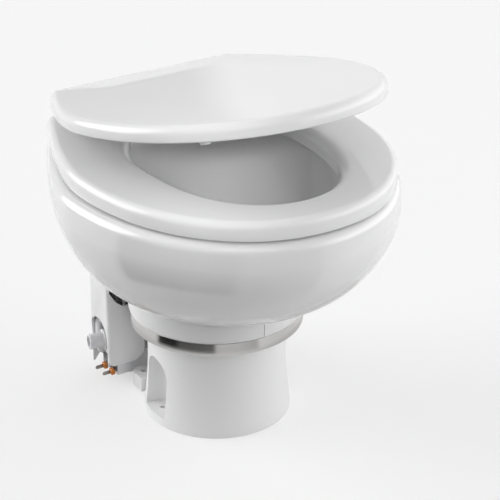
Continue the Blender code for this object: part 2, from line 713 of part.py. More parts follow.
def make_pedestal():
    """Column with foot flare, top flange, two screw niches, two rear lugs and a boss."""
    outer = [(0.0, 0.0), (FOOT_RADIUS, 0.0), (FOOT_RADIUS, FOOT_EDGE_HEIGHT)]
    flare_steps = 5
    for step in range(1, flare_steps + 1):
        share = step / flare_steps
        height = FOOT_EDGE_HEIGHT + (FLARE_HEIGHT - FOOT_EDGE_HEIGHT) * share
        outer.append((COLUMN_RADIUS + (FOOT_RADIUS - COLUMN_RADIUS) * (1 - share) ** 2, height))
    outer += [(COLUMN_RADIUS, STEP_LINE_HEIGHT), (COLUMN_RADIUS + STEP_LINE_DEPTH, STEP_LINE_HEIGHT),
              (COLUMN_RADIUS + STEP_LINE_DEPTH, FLANGE_BOTTOM), (FLANGE_RADIUS, FLANGE_BOTTOM),
              (FLANGE_RADIUS, PEDESTAL_HEIGHT), (0.0, PEDESTAL_HEIGHT)]
    pedestal = piece("pedestal", turned(outer, LARGE_STEPS, wrap=False), PEDESTAL_WHITE)

    cavity_profile = [(0.0, FLOOR_THICKNESS), (COLUMN_INNER, FLOOR_THICKNESS),
                      (COLUMN_INNER, PEDESTAL_HEIGHT + OVERRUN), (0.0, PEDESTAL_HEIGHT + OVERRUN)]
    cavity = tool("pedestal_cavity", turned(cavity_profile, LARGE_STEPS, wrap=False))
    for label, side in (("left", -1), ("right", 1)):
        wall = tool("niche_wall_" + label, arch_hull(
            NICHE_RADIUS + NICHE_WALL, NICHE_BACK_X - NICHE_WALL, NICHE_Y, FOOT_RADIUS + OVERRUN,
            -OVERRUN, NICHE_TOP + NICHE_WALL, side))
        combine(cavity, wall, "DIFFERENCE")
    combine(pedestal, cavity, "DIFFERENCE")

    for label, side in (("left", -1), ("right", 1)):
        niche = tool("niche_" + label, arch_hull(
            NICHE_RADIUS, NICHE_BACK_X, NICHE_Y, FOOT_RADIUS + OVERRUN, NICHE_LEDGE_HEIGHT, NICHE_TOP, side))
        combine(pedestal, niche, "DIFFERENCE")
        screw_place = (side * NICHE_SCREW_X, NICHE_SCREW_Y)
        hole = tool("niche_hole_" + label, rod(
            (*screw_place, -OVERRUN), (*screw_place, NICHE_LEDGE_HEIGHT + OVERRUN), FLOOR_SCREW_RADIUS, SMALL_STEPS))
        combine(pedestal, hole, "DIFFERENCE")
        lug = tool("lug_" + label, lug_shape(side * LUG_X))
        combine(pedestal, lug, "UNION")
        lug_hole = tool("lug_hole_" + label, rod(
            (side * LUG_X, LUG_Y, -OVERRUN), (side * LUG_X, LUG_Y, LUG_THICKNESS + OVERRUN), LUG_HOLE_RADIUS,
            SMALL_STEPS))
        combine(pedestal, lug_hole, "DIFFERENCE")

    boss = tool("bracket_boss", block((-BOSS_WIDTH / 2, COLUMN_INNER - COLUMN_WALL, BOSS_BOTTOM),
                                      (BOSS_WIDTH / 2, BOSS_BACK_Y, BOSS_BOTTOM + BOSS_HEIGHT)))
    combine(pedestal, boss, "UNION")
    pilot = tool("boss_pilot", rod(bracket_screw_seat() + Vector((0, OVERRUN, 0)),
                                   bracket_screw_seat() - Vector((0, SCREW_LENGTH + RUNNING_GAP, 0)),
                                   SCREW_RADIUS + GAP, SMALL_STEPS))
    combine(pedestal, pilot, "DIFFERENCE")
    port = tool("discharge_port", rod((DISCHARGE_X, COLUMN_INNER / 2, DISCHARGE_Z),
                                      (DISCHARGE_X, FOOT_RADIUS + OVERRUN, DISCHARGE_Z), COLUMN_PORT_RADIUS,
                                      SMALL_STEPS))
    combine(pedestal, port, "DIFFERENCE")


def lug_shape(centre_x):
    """A tab from inside the column's wall to a half-round end."""
    points = [(centre_x - LUG_RADIUS, LUG_Y - COLUMN_WALL - LUG_RADIUS),
              (centre_x + LUG_RADIUS, LUG_Y - COLUMN_WALL - LUG_RADIUS)]
    end_steps = SMALL_STEPS // 2
    for step in range(end_steps + 1):
        angle = math.pi * step / end_steps
        points.append((centre_x + LUG_RADIUS * math.cos(angle), LUG_Y + LUG_RADIUS * math.sin(angle)))
    return skin([[(x, y, height) for x, y in points] for height in (0.0, LUG_THICKNESS)])


def make_clamp():
    """Seal, the two clamp halves, and the band that draws them together."""
    seal_outer = FLANGE_RADIUS - RUNNING_GAP
    seal = [(seal_outer - BOWL_SEAL_WIDTH, BOWL_SEAL_BOTTOM), (seal_outer, BOWL_SEAL_BOTTOM),
            (seal_outer, BOWL_SEAL_BOTTOM + BOWL_SEAL_THICKNESS),
            (seal_outer - BOWL_SEAL_WIDTH, BOWL_SEAL_BOTTOM + BOWL_SEAL_THICKNESS)]
    piece("bowl_seal", turned(seal, MEDIUM_STEPS), RUBBER)

    inner = FLANGE_RADIUS + RUNNING_GAP
    lip = COLUMN_RADIUS + STEP_LINE_DEPTH + RUNNING_GAP
    neck = NECK_RADIUS + RUNNING_GAP
    shoulder = CLAMP_RADIUS + CLAMP_SHOULDER
    half = [(lip, CLAMP_BOTTOM), (CLAMP_RADIUS, CLAMP_BOTTOM), (CLAMP_RADIUS, BAND_TOP + GAP),
            (shoulder - CLAMP_SHOULDER / 2, BAND_TOP + 2 * GAP), (shoulder, CLAMP_TOP - CLAMP_LIP),
            (shoulder - CLAMP_SHOULDER, CLAMP_TOP), (neck, CLAMP_TOP),
            (neck, BOWL_FOOT_TOP + GAP), (inner, BOWL_FOOT_TOP + GAP), (inner, CLAMP_BOTTOM + CLAMP_LIP),
            (lip, CLAMP_BOTTOM + CLAMP_LIP)]
    seam = CLAMP_SEAM / 2 / CLAMP_RADIUS
    piece("clamp_half_right", turned_part(half, LARGE_STEPS // 2, -QUARTER + seam, QUARTER - seam), PEDESTAL_WHITE)
    piece("clamp_half_left", turned_part(half, LARGE_STEPS // 2, QUARTER + seam, 3 * QUARTER - seam), PEDESTAL_WHITE)

    half_gap = CLASP_GAP / 2 / BAND_OUTER
    strip = [(BAND_INNER, BAND_BOTTOM), (BAND_OUTER, BAND_BOTTOM), (BAND_OUTER, BAND_TOP), (BAND_INNER, BAND_TOP)]
    band = piece("clamp_band", turned_part(strip, LARGE_STEPS, CLASP_ANGLE + half_gap, CLASP_ANGLE + TURN - half_gap),
                 STEEL)
    outward = Vector((math.cos(CLASP_ANGLE), math.sin(CLASP_ANGLE), 0))
    across = Vector((-outward.y, outward.x, 0))
    bolt_middle = outward * (BAND_OUTER + CLASP_EAR_LENGTH / 2) + Vector((0, 0, (BAND_BOTTOM + BAND_TOP) / 2))
    hole = tool("clasp_hole", rod(bolt_middle - across * CLASP_GAP * 2, bolt_middle + across * CLASP_GAP * 2,
                                  CLASP_BOLT_RADIUS + GAP, SMALL_STEPS))
    for label, side in (("a", -1), ("b", 1)):
        near = side * CLASP_GAP / 2
        far = side * (CLASP_GAP / 2 + CLASP_EAR_THICKNESS)
        corners = []
        for height in (BAND_BOTTOM, BAND_TOP):
            corners.append([outward * (BAND_INNER + BAND_THICKNESS / 4 + reach) + across * offset + Vector((0, 0, height))
                            for reach, offset in ((0, near), (CLASP_EAR_LENGTH, near), (CLASP_EAR_LENGTH, far), (0, far))])
        ear = tool("clasp_ear_" + label, skin(corners))
        combine(band, ear, "UNION")
    combine(band, hole, "DIFFERENCE")
    seat = CLASP_GAP / 2 + CLASP_EAR_THICKNESS + GAP
    start = bolt_middle - across * (seat + CLASP_HEAD_LENGTH)
    end = bolt_middle + across * (seat + CLASP_HEAD_LENGTH + RUNNING_GAP)
    stations = [start, bolt_middle - across * seat, end]
    ring = sweep_rings([stations[0], stations[2]], [CLASP_HEAD_RADIUS, CLASP_BOLT_RADIUS], SMALL_STEPS)
    head, tip = ring
    head_seat = [point + across * CLASP_HEAD_LENGTH for point in head]
    shank_seat = [point - (stations[2] - stations[1]) for point in tip]
    piece("band_bolt", skin([head, head_seat, shank_seat, tip]), STEEL)
    nut_path = [bolt_middle + across * seat, bolt_middle + across * (seat + CLASP_HEAD_LENGTH)]
    piece("band_nut", pipe(nut_path, CLASP_HEAD_RADIUS, CLASP_BOLT_RADIUS + GAP, SMALL_STEPS), STEEL)


def bowl_ring(height, inset):
    """The bowl's outline above its widest line."""
    return egg(BOWL_WIDTH / 2 - inset, BOWL_FRONT_Y + inset, BOWL_BACK_Y - inset, BOWL_BACK_WIDTH / 2 - inset,
               BOWL_CORNER - inset, height)


def belly_ring(share):
    """The bowl's outline at a share of the belly's height."""
    side = superellipse(share, BELLY_SIDE_POWER)
    front = superellipse(share, BELLY_FRONT_POWER)
    back = superellipse(share, BELLY_BACK_POWER)
    squared = superellipse(share, 2)
    start = BELLY_FOOT_RADIUS
    half_width = start + (BOWL_WIDTH / 2 - start) * side
    corner = start - CORE + (BOWL_CORNER - start + CORE) * squared
    back_half = half_width * (1 + (BOWL_BACK_WIDTH / BOWL_WIDTH - 1) * squared)
    core_back_half = max(back_half - corner, BACK_CORE_SHARE * CORE)
    return egg(half_width, -start + (BOWL_FRONT_Y + start) * front, start + (BOWL_BACK_Y - start) * back,
               corner + min(core_back_half, half_width - corner - CORE / 2), corner,
               BELLY_BOTTOM + BELLY_HEIGHT * share, widest_y=WIDEST_Y * squared)


def basin_ring(share):
    """The inner surface's outline at a share of the basin's depth."""
    swing = superellipse(share, BASIN_POWER)
    start = OUTLET_RADIUS
    half_width = start + (BASIN_WIDTH / 2 - start) * swing
    corner = start - CORE + (BASIN_CORNER - start + CORE) * swing
    back_half = half_width * (1 + (BASIN_BACK_WIDTH / BASIN_WIDTH - 1) * swing)
    core_back_half = max(back_half - corner, BACK_CORE_SHARE * CORE)
    top = RIM_TOP - BASIN_EDGE_ROUND
    return egg(half_width, -start + (BASIN_FRONT_Y + start) * swing, start + (BASIN_BACK_Y - start) * swing,
               corner + min(core_back_half, half_width - corner - CORE / 2), corner,
               BASIN_BOTTOM + (top - BASIN_BOTTOM) * share, widest_y=SEAT_HOLE_WIDEST_Y * swing)


def basin_edge_ring(outset, height):
    """The basin's top edge, rolled outwards onto the rim."""
    return egg(BASIN_WIDTH / 2 + outset, BASIN_FRONT_Y - outset, BASIN_BACK_Y + outset,
               BASIN_BACK_WIDTH / 2 + outset, BASIN_CORNER + outset, height, widest_y=SEAT_HOLE_WIDEST_Y)


def make_bowl():
    """One casting: spigot, clamped foot, belly, rim, basin and rear deck."""
    rings = [round_ring(SPIGOT_RADIUS, SPIGOT_BOTTOM), round_ring(SPIGOT_RADIUS, BOWL_FOOT_BOTTOM),
             round_ring(BOWL_FOOT_RADIUS, BOWL_FOOT_BOTTOM), round_ring(BOWL_FOOT_RADIUS, BOWL_FOOT_TOP),
             round_ring(NECK_RADIUS, BOWL_FOOT_TOP), round_ring(NECK_RADIUS, BOWL_FOOT_TOP + NECK_HEIGHT)]
    for step in range(BELLY_STEPS + 1):
        share = 1 - math.cos(QUARTER * step / BELLY_STEPS) ** (2 / BELLY_SIDE_POWER)
        if step:
            rings.append(belly_ring(share))
        else:
            rings.append(round_ring(BELLY_FOOT_RADIUS, BELLY_BOTTOM))
    round_steps = 3
    for step in range(round_steps + 1):
        angle = QUARTER * step / round_steps
        rings.append(bowl_ring(RIM_TOP - RIM_ROUND + RIM_ROUND * math.sin(angle), RIM_ROUND * (1 - math.cos(angle))))
    for step in range(round_steps):
        angle = QUARTER * step / round_steps
        rings.append(basin_edge_ring(BASIN_EDGE_ROUND * (1 - math.sin(angle)),
                                     RIM_TOP - BASIN_EDGE_ROUND * (1 - math.cos(angle))))
    for step in range(BELLY_STEPS):
        share = 1 - math.cos(QUARTER * (BELLY_STEPS - step) / BELLY_STEPS) ** (2 / BASIN_POWER)
        rings.append(basin_ring(share))
    rings += [round_ring(OUTLET_RADIUS, BASIN_BOTTOM), round_ring(OUTLET_RADIUS, SPIGOT_BOTTOM)]
    bowl = piece("bowl", skin(rings, wrap=True), CERAMIC)

    recess = tool("deck_recess", block((-RECESS_WIDTH / 2, RECESS_FRONT_Y, RECESS_BOTTOM),
                                       (RECESS_WIDTH / 2, BOWL_BACK_Y + OVERRUN, DECK_BOTTOM)))
    combine(bowl, recess, "DIFFERENCE")
    for label, side in (("left", -1), ("right", 1)):
        place = (side * HINGE_SPACING / 2, HINGE_Y)
        hole = tool("deck_hole_" + label, rod((*place, DECK_BOTTOM - OVERRUN), (*place, RIM_TOP + OVERRUN),
                                              DECK_HOLE_RADIUS, SMALL_STEPS))
        combine(bowl, hole, "DIFFERENCE")
    rinse = tool("rinse_hole", rod((RINSE_FITTING_X, RECESS_FRONT_Y + OVERRUN, RINSE_FITTING_Z),
                                   (RINSE_FITTING_X, 0, RINSE_FITTING_Z), RINSE_HOLE_RADIUS, SMALL_STEPS))
    combine(bowl, rinse, "DIFFERENCE")


def seat_ring(inset, height):
    """The seat's outer outline, drawn in."""
    return egg(SEAT_WIDTH / 2 - inset, SEAT_FRONT_Y + inset, SEAT_BACK_Y - inset, SEAT_BACK_WIDTH / 2 - inset,
               SEAT_CORNER - inset, height, power=FRONT_POWER)


def seat_hole_ring(outset, height):
    """The seat's opening, spread out."""
    return egg(SEAT_HOLE_WIDTH / 2 + outset, SEAT_HOLE_FRONT_Y - outset, SEAT_HOLE_BACK_Y + outset,
               SEAT_HOLE_BACK_WIDTH / 2 + outset, SEAT_HOLE_CORNER + outset, height, widest_y=SEAT_HOLE_WIDEST_Y)


def hinge_arm(label, centre_x, root_y, low, high, parent):
    """An arm from a seat or lid back to its knuckle round the pin."""
    x_low, x_high = centre_x - KNUCKLE_WIDTH / 2, centre_x + KNUCKLE_WIDTH / 2
    profile = [(root_y, low), (root_y, high)]
    knuckle_steps = SMALL_STEPS // 2
    for step in range(knuckle_steps + 1):
        angle = QUARTER - math.pi * step / knuckle_steps
        profile.append((HINGE_Y + KNUCKLE_RADIUS * math.cos(angle), HINGE_Z + KNUCKLE_RADIUS * math.sin(angle)))
    return tool(label, skin([[(x, y, z) for y, z in profile] for x in (x_low, x_high)]), parent)


def make_seat():
    """The seat ring with its two hinge arms, hung on the hinge axis."""
    axis = axis_empty("seat_axis", Vector((0, HINGE_Y, HINGE_Z)))
    under_round = SEAT_EDGE_ROUND / 4
    rings = [seat_ring(under_round, SEAT_BOTTOM), seat_ring(0, SEAT_BOTTOM + under_round)]
    round_steps = 4
    for step in range(round_steps + 1):
        angle = QUARTER * step / round_steps
        rings.append(seat_ring(SEAT_EDGE_ROUND * (1 - math.cos(angle)),
                               SEAT_TOP - SEAT_EDGE_ROUND + SEAT_EDGE_ROUND * math.sin(angle)))
    rings += [seat_hole_ring(SEAT_HOLE_BEVEL, SEAT_TOP),
              seat_hole_ring(SEAT_HOLE_BEVEL / 2, SEAT_TOP - SEAT_HOLE_BEVEL_DROP / 4),
              seat_hole_ring(0, SEAT_TOP - SEAT_HOLE_BEVEL_DROP), seat_hole_ring(0, SEAT_BOTTOM + under_round),
              seat_hole_ring(under_round, SEAT_BOTTOM)]
    seat = piece("seat", skin(rings, wrap=True), SEAT_WHITE, axis)
    for label, side in (("left", -1), ("right", 1)):
        centre_x = side * (HINGE_SPACING / 2 - POST_RADIUS - KNUCKLE_SIDE_GAP - KNUCKLE_WIDTH / 2)
        arm = hinge_arm("seat_arm_" + label, centre_x, SEAT_BACK_Y - ARM_ROOT, SEAT_TOP - ARM_THICKNESS,
                        SEAT_TOP - under_round, axis)
        combine(seat, arm, "UNION")
    combine(seat, pin_bore("seat_pin_bore", axis), "DIFFERENCE")
    for index, direction in enumerate(SEAT_BUMPER_DIRECTIONS):
        for label, side in (("left", -1), ("right", 1)):
            place = (side * SEAT_WIDTH / 2 * SEAT_BUMPER_SHARE * math.cos(direction),
                     WIDEST_Y + (WIDEST_Y - SEAT_FRONT_Y) * SEAT_BUMPER_SHARE * math.sin(direction))
            bumper = [(0.0, RIM_TOP + GAP), (SEAT_BUMPER_RADIUS - under_round / 2, RIM_TOP + GAP),
                      (SEAT_BUMPER_RADIUS, SEAT_BOTTOM - GAP), (0.0, SEAT_BOTTOM - GAP)]
            name = "seat_bumper_" + ("front_", "rear_")[index] + label
            piece(name, turned(bumper, SMALL_STEPS, place, wrap=False), WHITE_RUBBER, axis)


def pin_bore(name, parent):
    """The hole through both arms or both posts for the hinge pins."""
    reach = HINGE_SPACING
    return tool(name, rod((-reach, HINGE_Y, HINGE_Z), (reach, HINGE_Y, HINGE_Z), PIN_RADIUS + GAP, SMALL_STEPS),
                parent)


def lid_ring(inset, height):
    """The lid's outline, drawn in."""
    return egg(LID_WIDTH / 2 - inset, LID_FRONT_Y + inset, LID_BACK_Y - inset, LID_BACK_WIDTH / 2 - inset,
               LID_CORNER - inset, height, power=FRONT_POWER)


def make_lid():
    """The lid with its two hinge arms, built closed and raised with its axis."""
    axis = axis_empty("lid_axis", Vector((0, HINGE_Y, HINGE_Z)))
    top = LID_BOTTOM + LID_THICKNESS
    under_round = LID_EDGE_ROUND / 4
    rings = [lid_ring(under_round, LID_BOTTOM), lid_ring(0, LID_BOTTOM + under_round)]
    round_steps = 4
    for step in range(round_steps + 1):
        angle = QUARTER * step / round_steps
        rings.append(lid_ring(LID_EDGE_ROUND * (1 - math.cos(angle)),
                              top - LID_EDGE_ROUND + LID_EDGE_ROUND * math.sin(angle)))
    rings.append([(x * LID_CROWN_SHARE, y * LID_CROWN_SHARE, top + LID_CROWN) for x, y, _ in rings[-1]])
    lid = piece("lid", skin(rings), SEAT_WHITE, axis)
    for label, side in (("left", -1), ("right", 1)):
        centre_x = side * (HINGE_SPACING / 2 + POST_RADIUS + KNUCKLE_SIDE_GAP + KNUCKLE_WIDTH / 2)
        arm = hinge_arm("lid_arm_" + label, centre_x, LID_BACK_Y - ARM_ROOT, LID_BOTTOM + under_round,
                        LID_BOTTOM + ARM_THICKNESS, axis)
        combine(lid, arm, "UNION")
        place = (side * LID_WIDTH / 2 * math.cos(LID_BUMPER_DIRECTION) * lid_bumper_share(),
                 WIDEST_Y + (WIDEST_Y - LID_FRONT_Y) * math.sin(LID_BUMPER_DIRECTION) * lid_bumper_share())
        bumper = [(0.0, SEAT_TOP + GAP), (LID_BUMPER_RADIUS, SEAT_TOP + GAP), (LID_BUMPER_RADIUS, LID_BOTTOM - GAP),
                  (0.0, LID_BOTTOM - GAP)]
        piece("lid_bumper_" + label, turned(bumper, SMALL_STEPS, place, wrap=False), WHITE_RUBBER, axis)
    combine(lid, pin_bore("lid_pin_bore", axis), "DIFFERENCE")
    axis.rotation_euler = (-LID_REST_ANGLE, 0, 0)


def lid_bumper_share():
    """How far out the lid's bumpers sit: over the middle of the seat's top."""
    hole = SEAT_HOLE_WIDTH / 2 + SEAT_HOLE_BEVEL
    edge = SEAT_WIDTH / 2 - SEAT_EDGE_ROUND
    return (hole + (edge - hole) * LID_BUMPER_INSET_SHARE) / (LID_WIDTH / 2)


def make_hinge_hardware():
    """Posts with studs through the deck, pins through the posts, and nuts below."""
    for label, side in (("left", -1), ("right", 1)):
        x = side * HINGE_SPACING / 2
        place = (x, HINGE_Y)
        post = [(0.0, RIM_TOP - STUD_LENGTH), (STUD_RADIUS, RIM_TOP - STUD_LENGTH), (STUD_RADIUS, RIM_TOP + GAP),
                (POST_RADIUS, RIM_TOP + GAP), (POST_RADIUS, HINGE_Z + POST_RADIUS), (0.0, HINGE_Z + POST_RADIUS)]
        body = piece("hinge_post_" + label, turned(post, SMALL_STEPS, place, wrap=False), STEEL)
        combine(body, pin_bore("post_bore_" + label, None), "DIFFERENCE")
        reach = POST_RADIUS + KNUCKLE_SIDE_GAP + KNUCKLE_WIDTH + RUNNING_GAP
        first, last = Vector((x - reach, HINGE_Y, HINGE_Z)), Vector((x + reach, HINGE_Y, HINGE_Z))
        along = Vector((PIN_HEAD_LENGTH, 0, 0))
        path = [first - along, first, first, last, last, last + along]
        ring = sweep_rings([path[0], path[5]], [PIN_RADIUS, PIN_HEAD_RADIUS], SMALL_STEPS)
        thin = [Vector(point) for point in ring[0]]
        wide = [Vector(point) - (path[5] - path[0]) for point in ring[1]]
        shapes = [(wide, 0), (wide, PIN_HEAD_LENGTH), (thin, PIN_HEAD_LENGTH),
                  (thin, PIN_HEAD_LENGTH + 2 * reach), (wide, PIN_HEAD_LENGTH + 2 * reach),
                  (wide, 2 * PIN_HEAD_LENGTH + 2 * reach)]
        rings = [[point + Vector((shift, 0, 0)) for point in shape] for shape, shift in shapes]
        piece("hinge_pin_" + label, skin(rings), STEEL)
        nut_top = DECK_BOTTOM - GAP
        bore = STUD_RADIUS + GAP
        nut = [(bore, nut_top), (NUT_FLANGE_RADIUS, nut_top), (NUT_FLANGE_RADIUS, nut_top - NUT_FLANGE_THICKNESS),
               (NUT_HUB_RADIUS, nut_top - NUT_FLANGE_THICKNESS),
               (NUT_HUB_RADIUS, nut_top - NUT_FLANGE_THICKNESS - NUT_HUB_HEIGHT),
               (bore, nut_top - NUT_FLANGE_THICKNESS - NUT_HUB_HEIGHT)]
        wing_nut = piece("wing_nut_" + label, turned(nut, SMALL_STEPS, place), GREY_PLASTIC)
        for wing, way in (("in", -1), ("out", 1)):
            inner_x = x + way * (bore + NUT_HUB_RADIUS) / 2
            outer_x = x + way * NUT_WING_SPAN / 2
            low_x, high_x = min(inner_x, outer_x), max(inner_x, outer_x)
            middle = nut_top - NUT_FLANGE_THICKNESS - NUT_HUB_HEIGHT / 2
            wings = tool("wing_" + wing + "_" + label, block(
                (low_x, HINGE_Y - NUT_WING_THICKNESS / 2, middle - NUT_HUB_HEIGHT / 4),
                (high_x, HINGE_Y + NUT_WING_THICKNESS / 2, middle + NUT_HUB_HEIGHT / 4)))
            combine(wing_nut, wings, "UNION")


def make_motor():
    """Motor can, end plate, bearings, and the rotor with impeller and blade."""
    cup_inner = BEARING_RADIUS + GAP
    inside = MOTOR_RADIUS - MOTOR_WALL
    floor = MOTOR_BOTTOM + MOTOR_BOTTOM_THICKNESS
    can = [(0.0, MOTOR_BOTTOM), (MOTOR_RADIUS, MOTOR_BOTTOM), (MOTOR_RADIUS, MOTOR_TOP), (inside, MOTOR_TOP),
           (inside, floor), (cup_inner + BEARING_CUP_WALL, floor),
           (cup_inner + BEARING_CUP_WALL, floor + BEARING_HEIGHT), (cup_inner, floor + BEARING_HEIGHT),
           (cup_inner, floor), (0.0, floor)]
    piece("motor_can", turned(can, MEDIUM_STEPS, wrap=False), MOTOR_PAINT)
    bore = SHAFT_RADIUS + GAP
    lower = floor + GAP
    upper = END_PLATE_BOTTOM + GAP
    for name, bottom in (("lower_bearing", lower), ("upper_bearing", upper)):
        ring = [(bore, bottom), (BEARING_RADIUS, bottom), (BEARING_RADIUS, bottom + BEARING_HEIGHT),
                (bore, bottom + BEARING_HEIGHT)]
        piece(name, turned(ring, SMALL_STEPS), STEEL)
    seat_top = upper + BEARING_HEIGHT + GAP
    plate = [(cup_inner, END_PLATE_BOTTOM), (END_PLATE_RADIUS, END_PLATE_BOTTOM), (END_PLATE_RADIUS, END_PLATE_TOP),
             (bore + GAP, END_PLATE_TOP), (bore + GAP, seat_top), (cup_inner, seat_top)]
    piece("motor_end_plate", turned(plate, MEDIUM_STEPS), GREY_PLASTIC)

    blade_bottom = chopper_bottom() + CHOPPER_THICKNESS + BLADE_LIFT
    head_bottom = blade_bottom + BLADE_THICKNESS + GAP
    shaft = [(0.0, lower), (SHAFT_RADIUS, lower), (SHAFT_RADIUS, head_bottom), (SHAFT_HEAD_RADIUS, head_bottom),
             (SHAFT_HEAD_RADIUS, head_bottom + SHAFT_HEAD_HEIGHT), (0.0, head_bottom + SHAFT_HEAD_HEIGHT)]
    piece("motor_shaft", turned(shaft, SMALL_STEPS, wrap=False), STEEL)
    armature_low = floor + ARMATURE_LIFT
    armature = [(bore, armature_low), (ARMATURE_RADIUS, armature_low),
                (ARMATURE_RADIUS, armature_low + ARMATURE_HEIGHT), (bore, armature_low + ARMATURE_HEIGHT)]
    piece("armature", turned(armature, MEDIUM_STEPS), STEEL)

    low = HOUSING_BOTTOM + IMPELLER_LIFT
    disc = [(bore, low), (IMPELLER_RADIUS, low), (IMPELLER_RADIUS, low + IMPELLER_DISC),
            (ROTOR_HUB_RADIUS, low + IMPELLER_DISC), (ROTOR_HUB_RADIUS, low + IMPELLER_DISC + IMPELLER_VANE_HEIGHT),
            (bore, low + IMPELLER_DISC + IMPELLER_VANE_HEIGHT)]
    impeller = piece("impeller", turned(disc, MEDIUM_STEPS), GREY_PLASTIC)
    for index in range(IMPELLER_VANES):
        angle = TURN * index / IMPELLER_VANES
        vane = block((ROTOR_HUB_RADIUS - RUNNING_GAP, -IMPELLER_VANE_THICKNESS / 2, low + IMPELLER_DISC / 2),
                     (IMPELLER_RADIUS - RUNNING_GAP, IMPELLER_VANE_THICKNESS / 2,
                      low + IMPELLER_DISC + IMPELLER_VANE_HEIGHT))
        bmesh.ops.rotate(vane, verts=vane.verts, matrix=Matrix.Rotation(angle, 3, "Z"))
        combine(impeller, tool("vane_%d" % index, vane), "UNION")

    blade_ring = []
    for height in (blade_bottom, blade_bottom + BLADE_THICKNESS):
        half, width = BLADE_LENGTH / 2, BLADE_WIDTH / 2
        blade_ring.append([(-half, -width, height), (0, -width, height), (half, -width / 2, height),
                           (half, width, height), (0, width, height), (-half, width / 2, height)])
    blade = piece("macerator_blade", skin(blade_ring), STEEL)
    blade_bore = tool("blade_bore", rod((0, 0, blade_bottom - BLADE_LIFT), (0, 0, head_bottom + BLADE_LIFT), bore,
                                        SMALL_STEPS))
    combine(blade, blade_bore, "DIFFERENCE")


def chopper_bottom():
    """The fixed chopper plate lies over the impeller."""
    return HOUSING_BOTTOM + CHOPPER_LIFT


def make_pump():
    """Pump housing with its discharge spout, chopper plate, back plate and seals."""
    seal_bore = SHAFT_SEAL_RADIUS + GAP
    plate = [(seal_bore, BACKPLATE_BOTTOM), (HOUSING_RADIUS, BACKPLATE_BOTTOM), (HOUSING_RADIUS, BACKPLATE_TOP),
             (seal_bore, BACKPLATE_TOP)]
    piece("pump_backplate", turned(plate, MEDIUM_STEPS), GREY_PLASTIC)
    bore = SHAFT_RADIUS + GAP
    seal = [(bore, BACKPLATE_BOTTOM), (SHAFT_SEAL_RADIUS, BACKPLATE_BOTTOM), (SHAFT_SEAL_RADIUS, BACKPLATE_TOP),
            (bore, BACKPLATE_TOP)]
    piece("shaft_seal", turned(seal, SMALL_STEPS), RUBBER)

    roof = HOUSING_TOP - HOUSING_WALL
    collar_outer = COLLAR_INNER + COLLAR_WALL
    shell = [(HOUSING_INNER, HOUSING_BOTTOM), (HOUSING_RADIUS, HOUSING_BOTTOM), (HOUSING_RADIUS, HOUSING_TOP),
             (collar_outer, HOUSING_TOP), (collar_outer, HOUSING_TOP + COLLAR_HEIGHT),
             (COLLAR_INNER, HOUSING_TOP + COLLAR_HEIGHT), (COLLAR_INNER, HOUSING_TOP), (OUTLET_RADIUS, HOUSING_TOP),
             (OUTLET_RADIUS, roof), (HOUSING_INNER, roof)]
    housing = piece("pump_housing", turned(shell, MEDIUM_STEPS), BLACK_PLASTIC)
    spout_root = math.sqrt(HOUSING_INNER ** 2 - (abs(DISCHARGE_X) - SPOUT_BORE) ** 2)
    spout_start = math.sqrt(HOUSING_INNER ** 2 - DISCHARGE_X ** 2) + HOUSING_WALL / 4
    spout = tool("pump_spout", rod((DISCHARGE_X, spout_start, DISCHARGE_Z), (DISCHARGE_X, SPOUT_END_Y, DISCHARGE_Z),
                                   SPOUT_RADIUS, SMALL_STEPS))
    spout_hole = tool("spout_hole", rod((DISCHARGE_X, 0, DISCHARGE_Z),
                                        (DISCHARGE_X, SPOUT_END_Y + OVERRUN, DISCHARGE_Z), SPOUT_BORE, SMALL_STEPS))
    combine(housing, spout, "UNION")
    clear_profile = [(0.0, HOUSING_BOTTOM - OVERRUN), (HOUSING_INNER, HOUSING_BOTTOM - OVERRUN),
                     (HOUSING_INNER, roof), (0.0, roof)]
    clear = tool("chamber_space", turned(clear_profile, MEDIUM_STEPS, wrap=False))
    combine(housing, clear, "DIFFERENCE")
    combine(housing, spout_hole, "DIFFERENCE")

    chopper = [(CHOPPER_BORE, chopper_bottom()), (HOUSING_INNER - GAP, chopper_bottom()),
               (HOUSING_INNER - GAP, chopper_bottom() + CHOPPER_THICKNESS),
               (CHOPPER_BORE, chopper_bottom() + CHOPPER_THICKNESS)]
    chopper_plate = piece("chopper_plate", turned(chopper, MEDIUM_STEPS), STEEL)
    for index in range(CHOPPER_HOLES):
        angle = CHOPPER_FIRST_ANGLE + TURN * index / CHOPPER_HOLES
        x, y = CHOPPER_HOLE_CIRCLE * math.cos(angle), CHOPPER_HOLE_CIRCLE * math.sin(angle)
        hole = tool("chopper_hole_%d" % index, rod((x, y, chopper_bottom() - GAP),
                                                   (x, y, chopper_bottom() + CHOPPER_THICKNESS + GAP),
                                                   CHOPPER_HOLE_RADIUS, SMALL_STEPS // 2))
        combine(chopper_plate, hole, "DIFFERENCE")

    inner = SPIGOT_RADIUS + GAP
    ring_low = HOUSING_TOP + GAP + (COLLAR_HEIGHT - OUTLET_SEAL_HEIGHT) / 2
    ring = [(inner, ring_low), (inner + OUTLET_SEAL_THICKNESS, ring_low),
            (inner + OUTLET_SEAL_THICKNESS, ring_low + OUTLET_SEAL_HEIGHT), (inner, ring_low + OUTLET_SEAL_HEIGHT)]
    piece("outlet_seal", turned(ring, MEDIUM_STEPS), RUBBER)


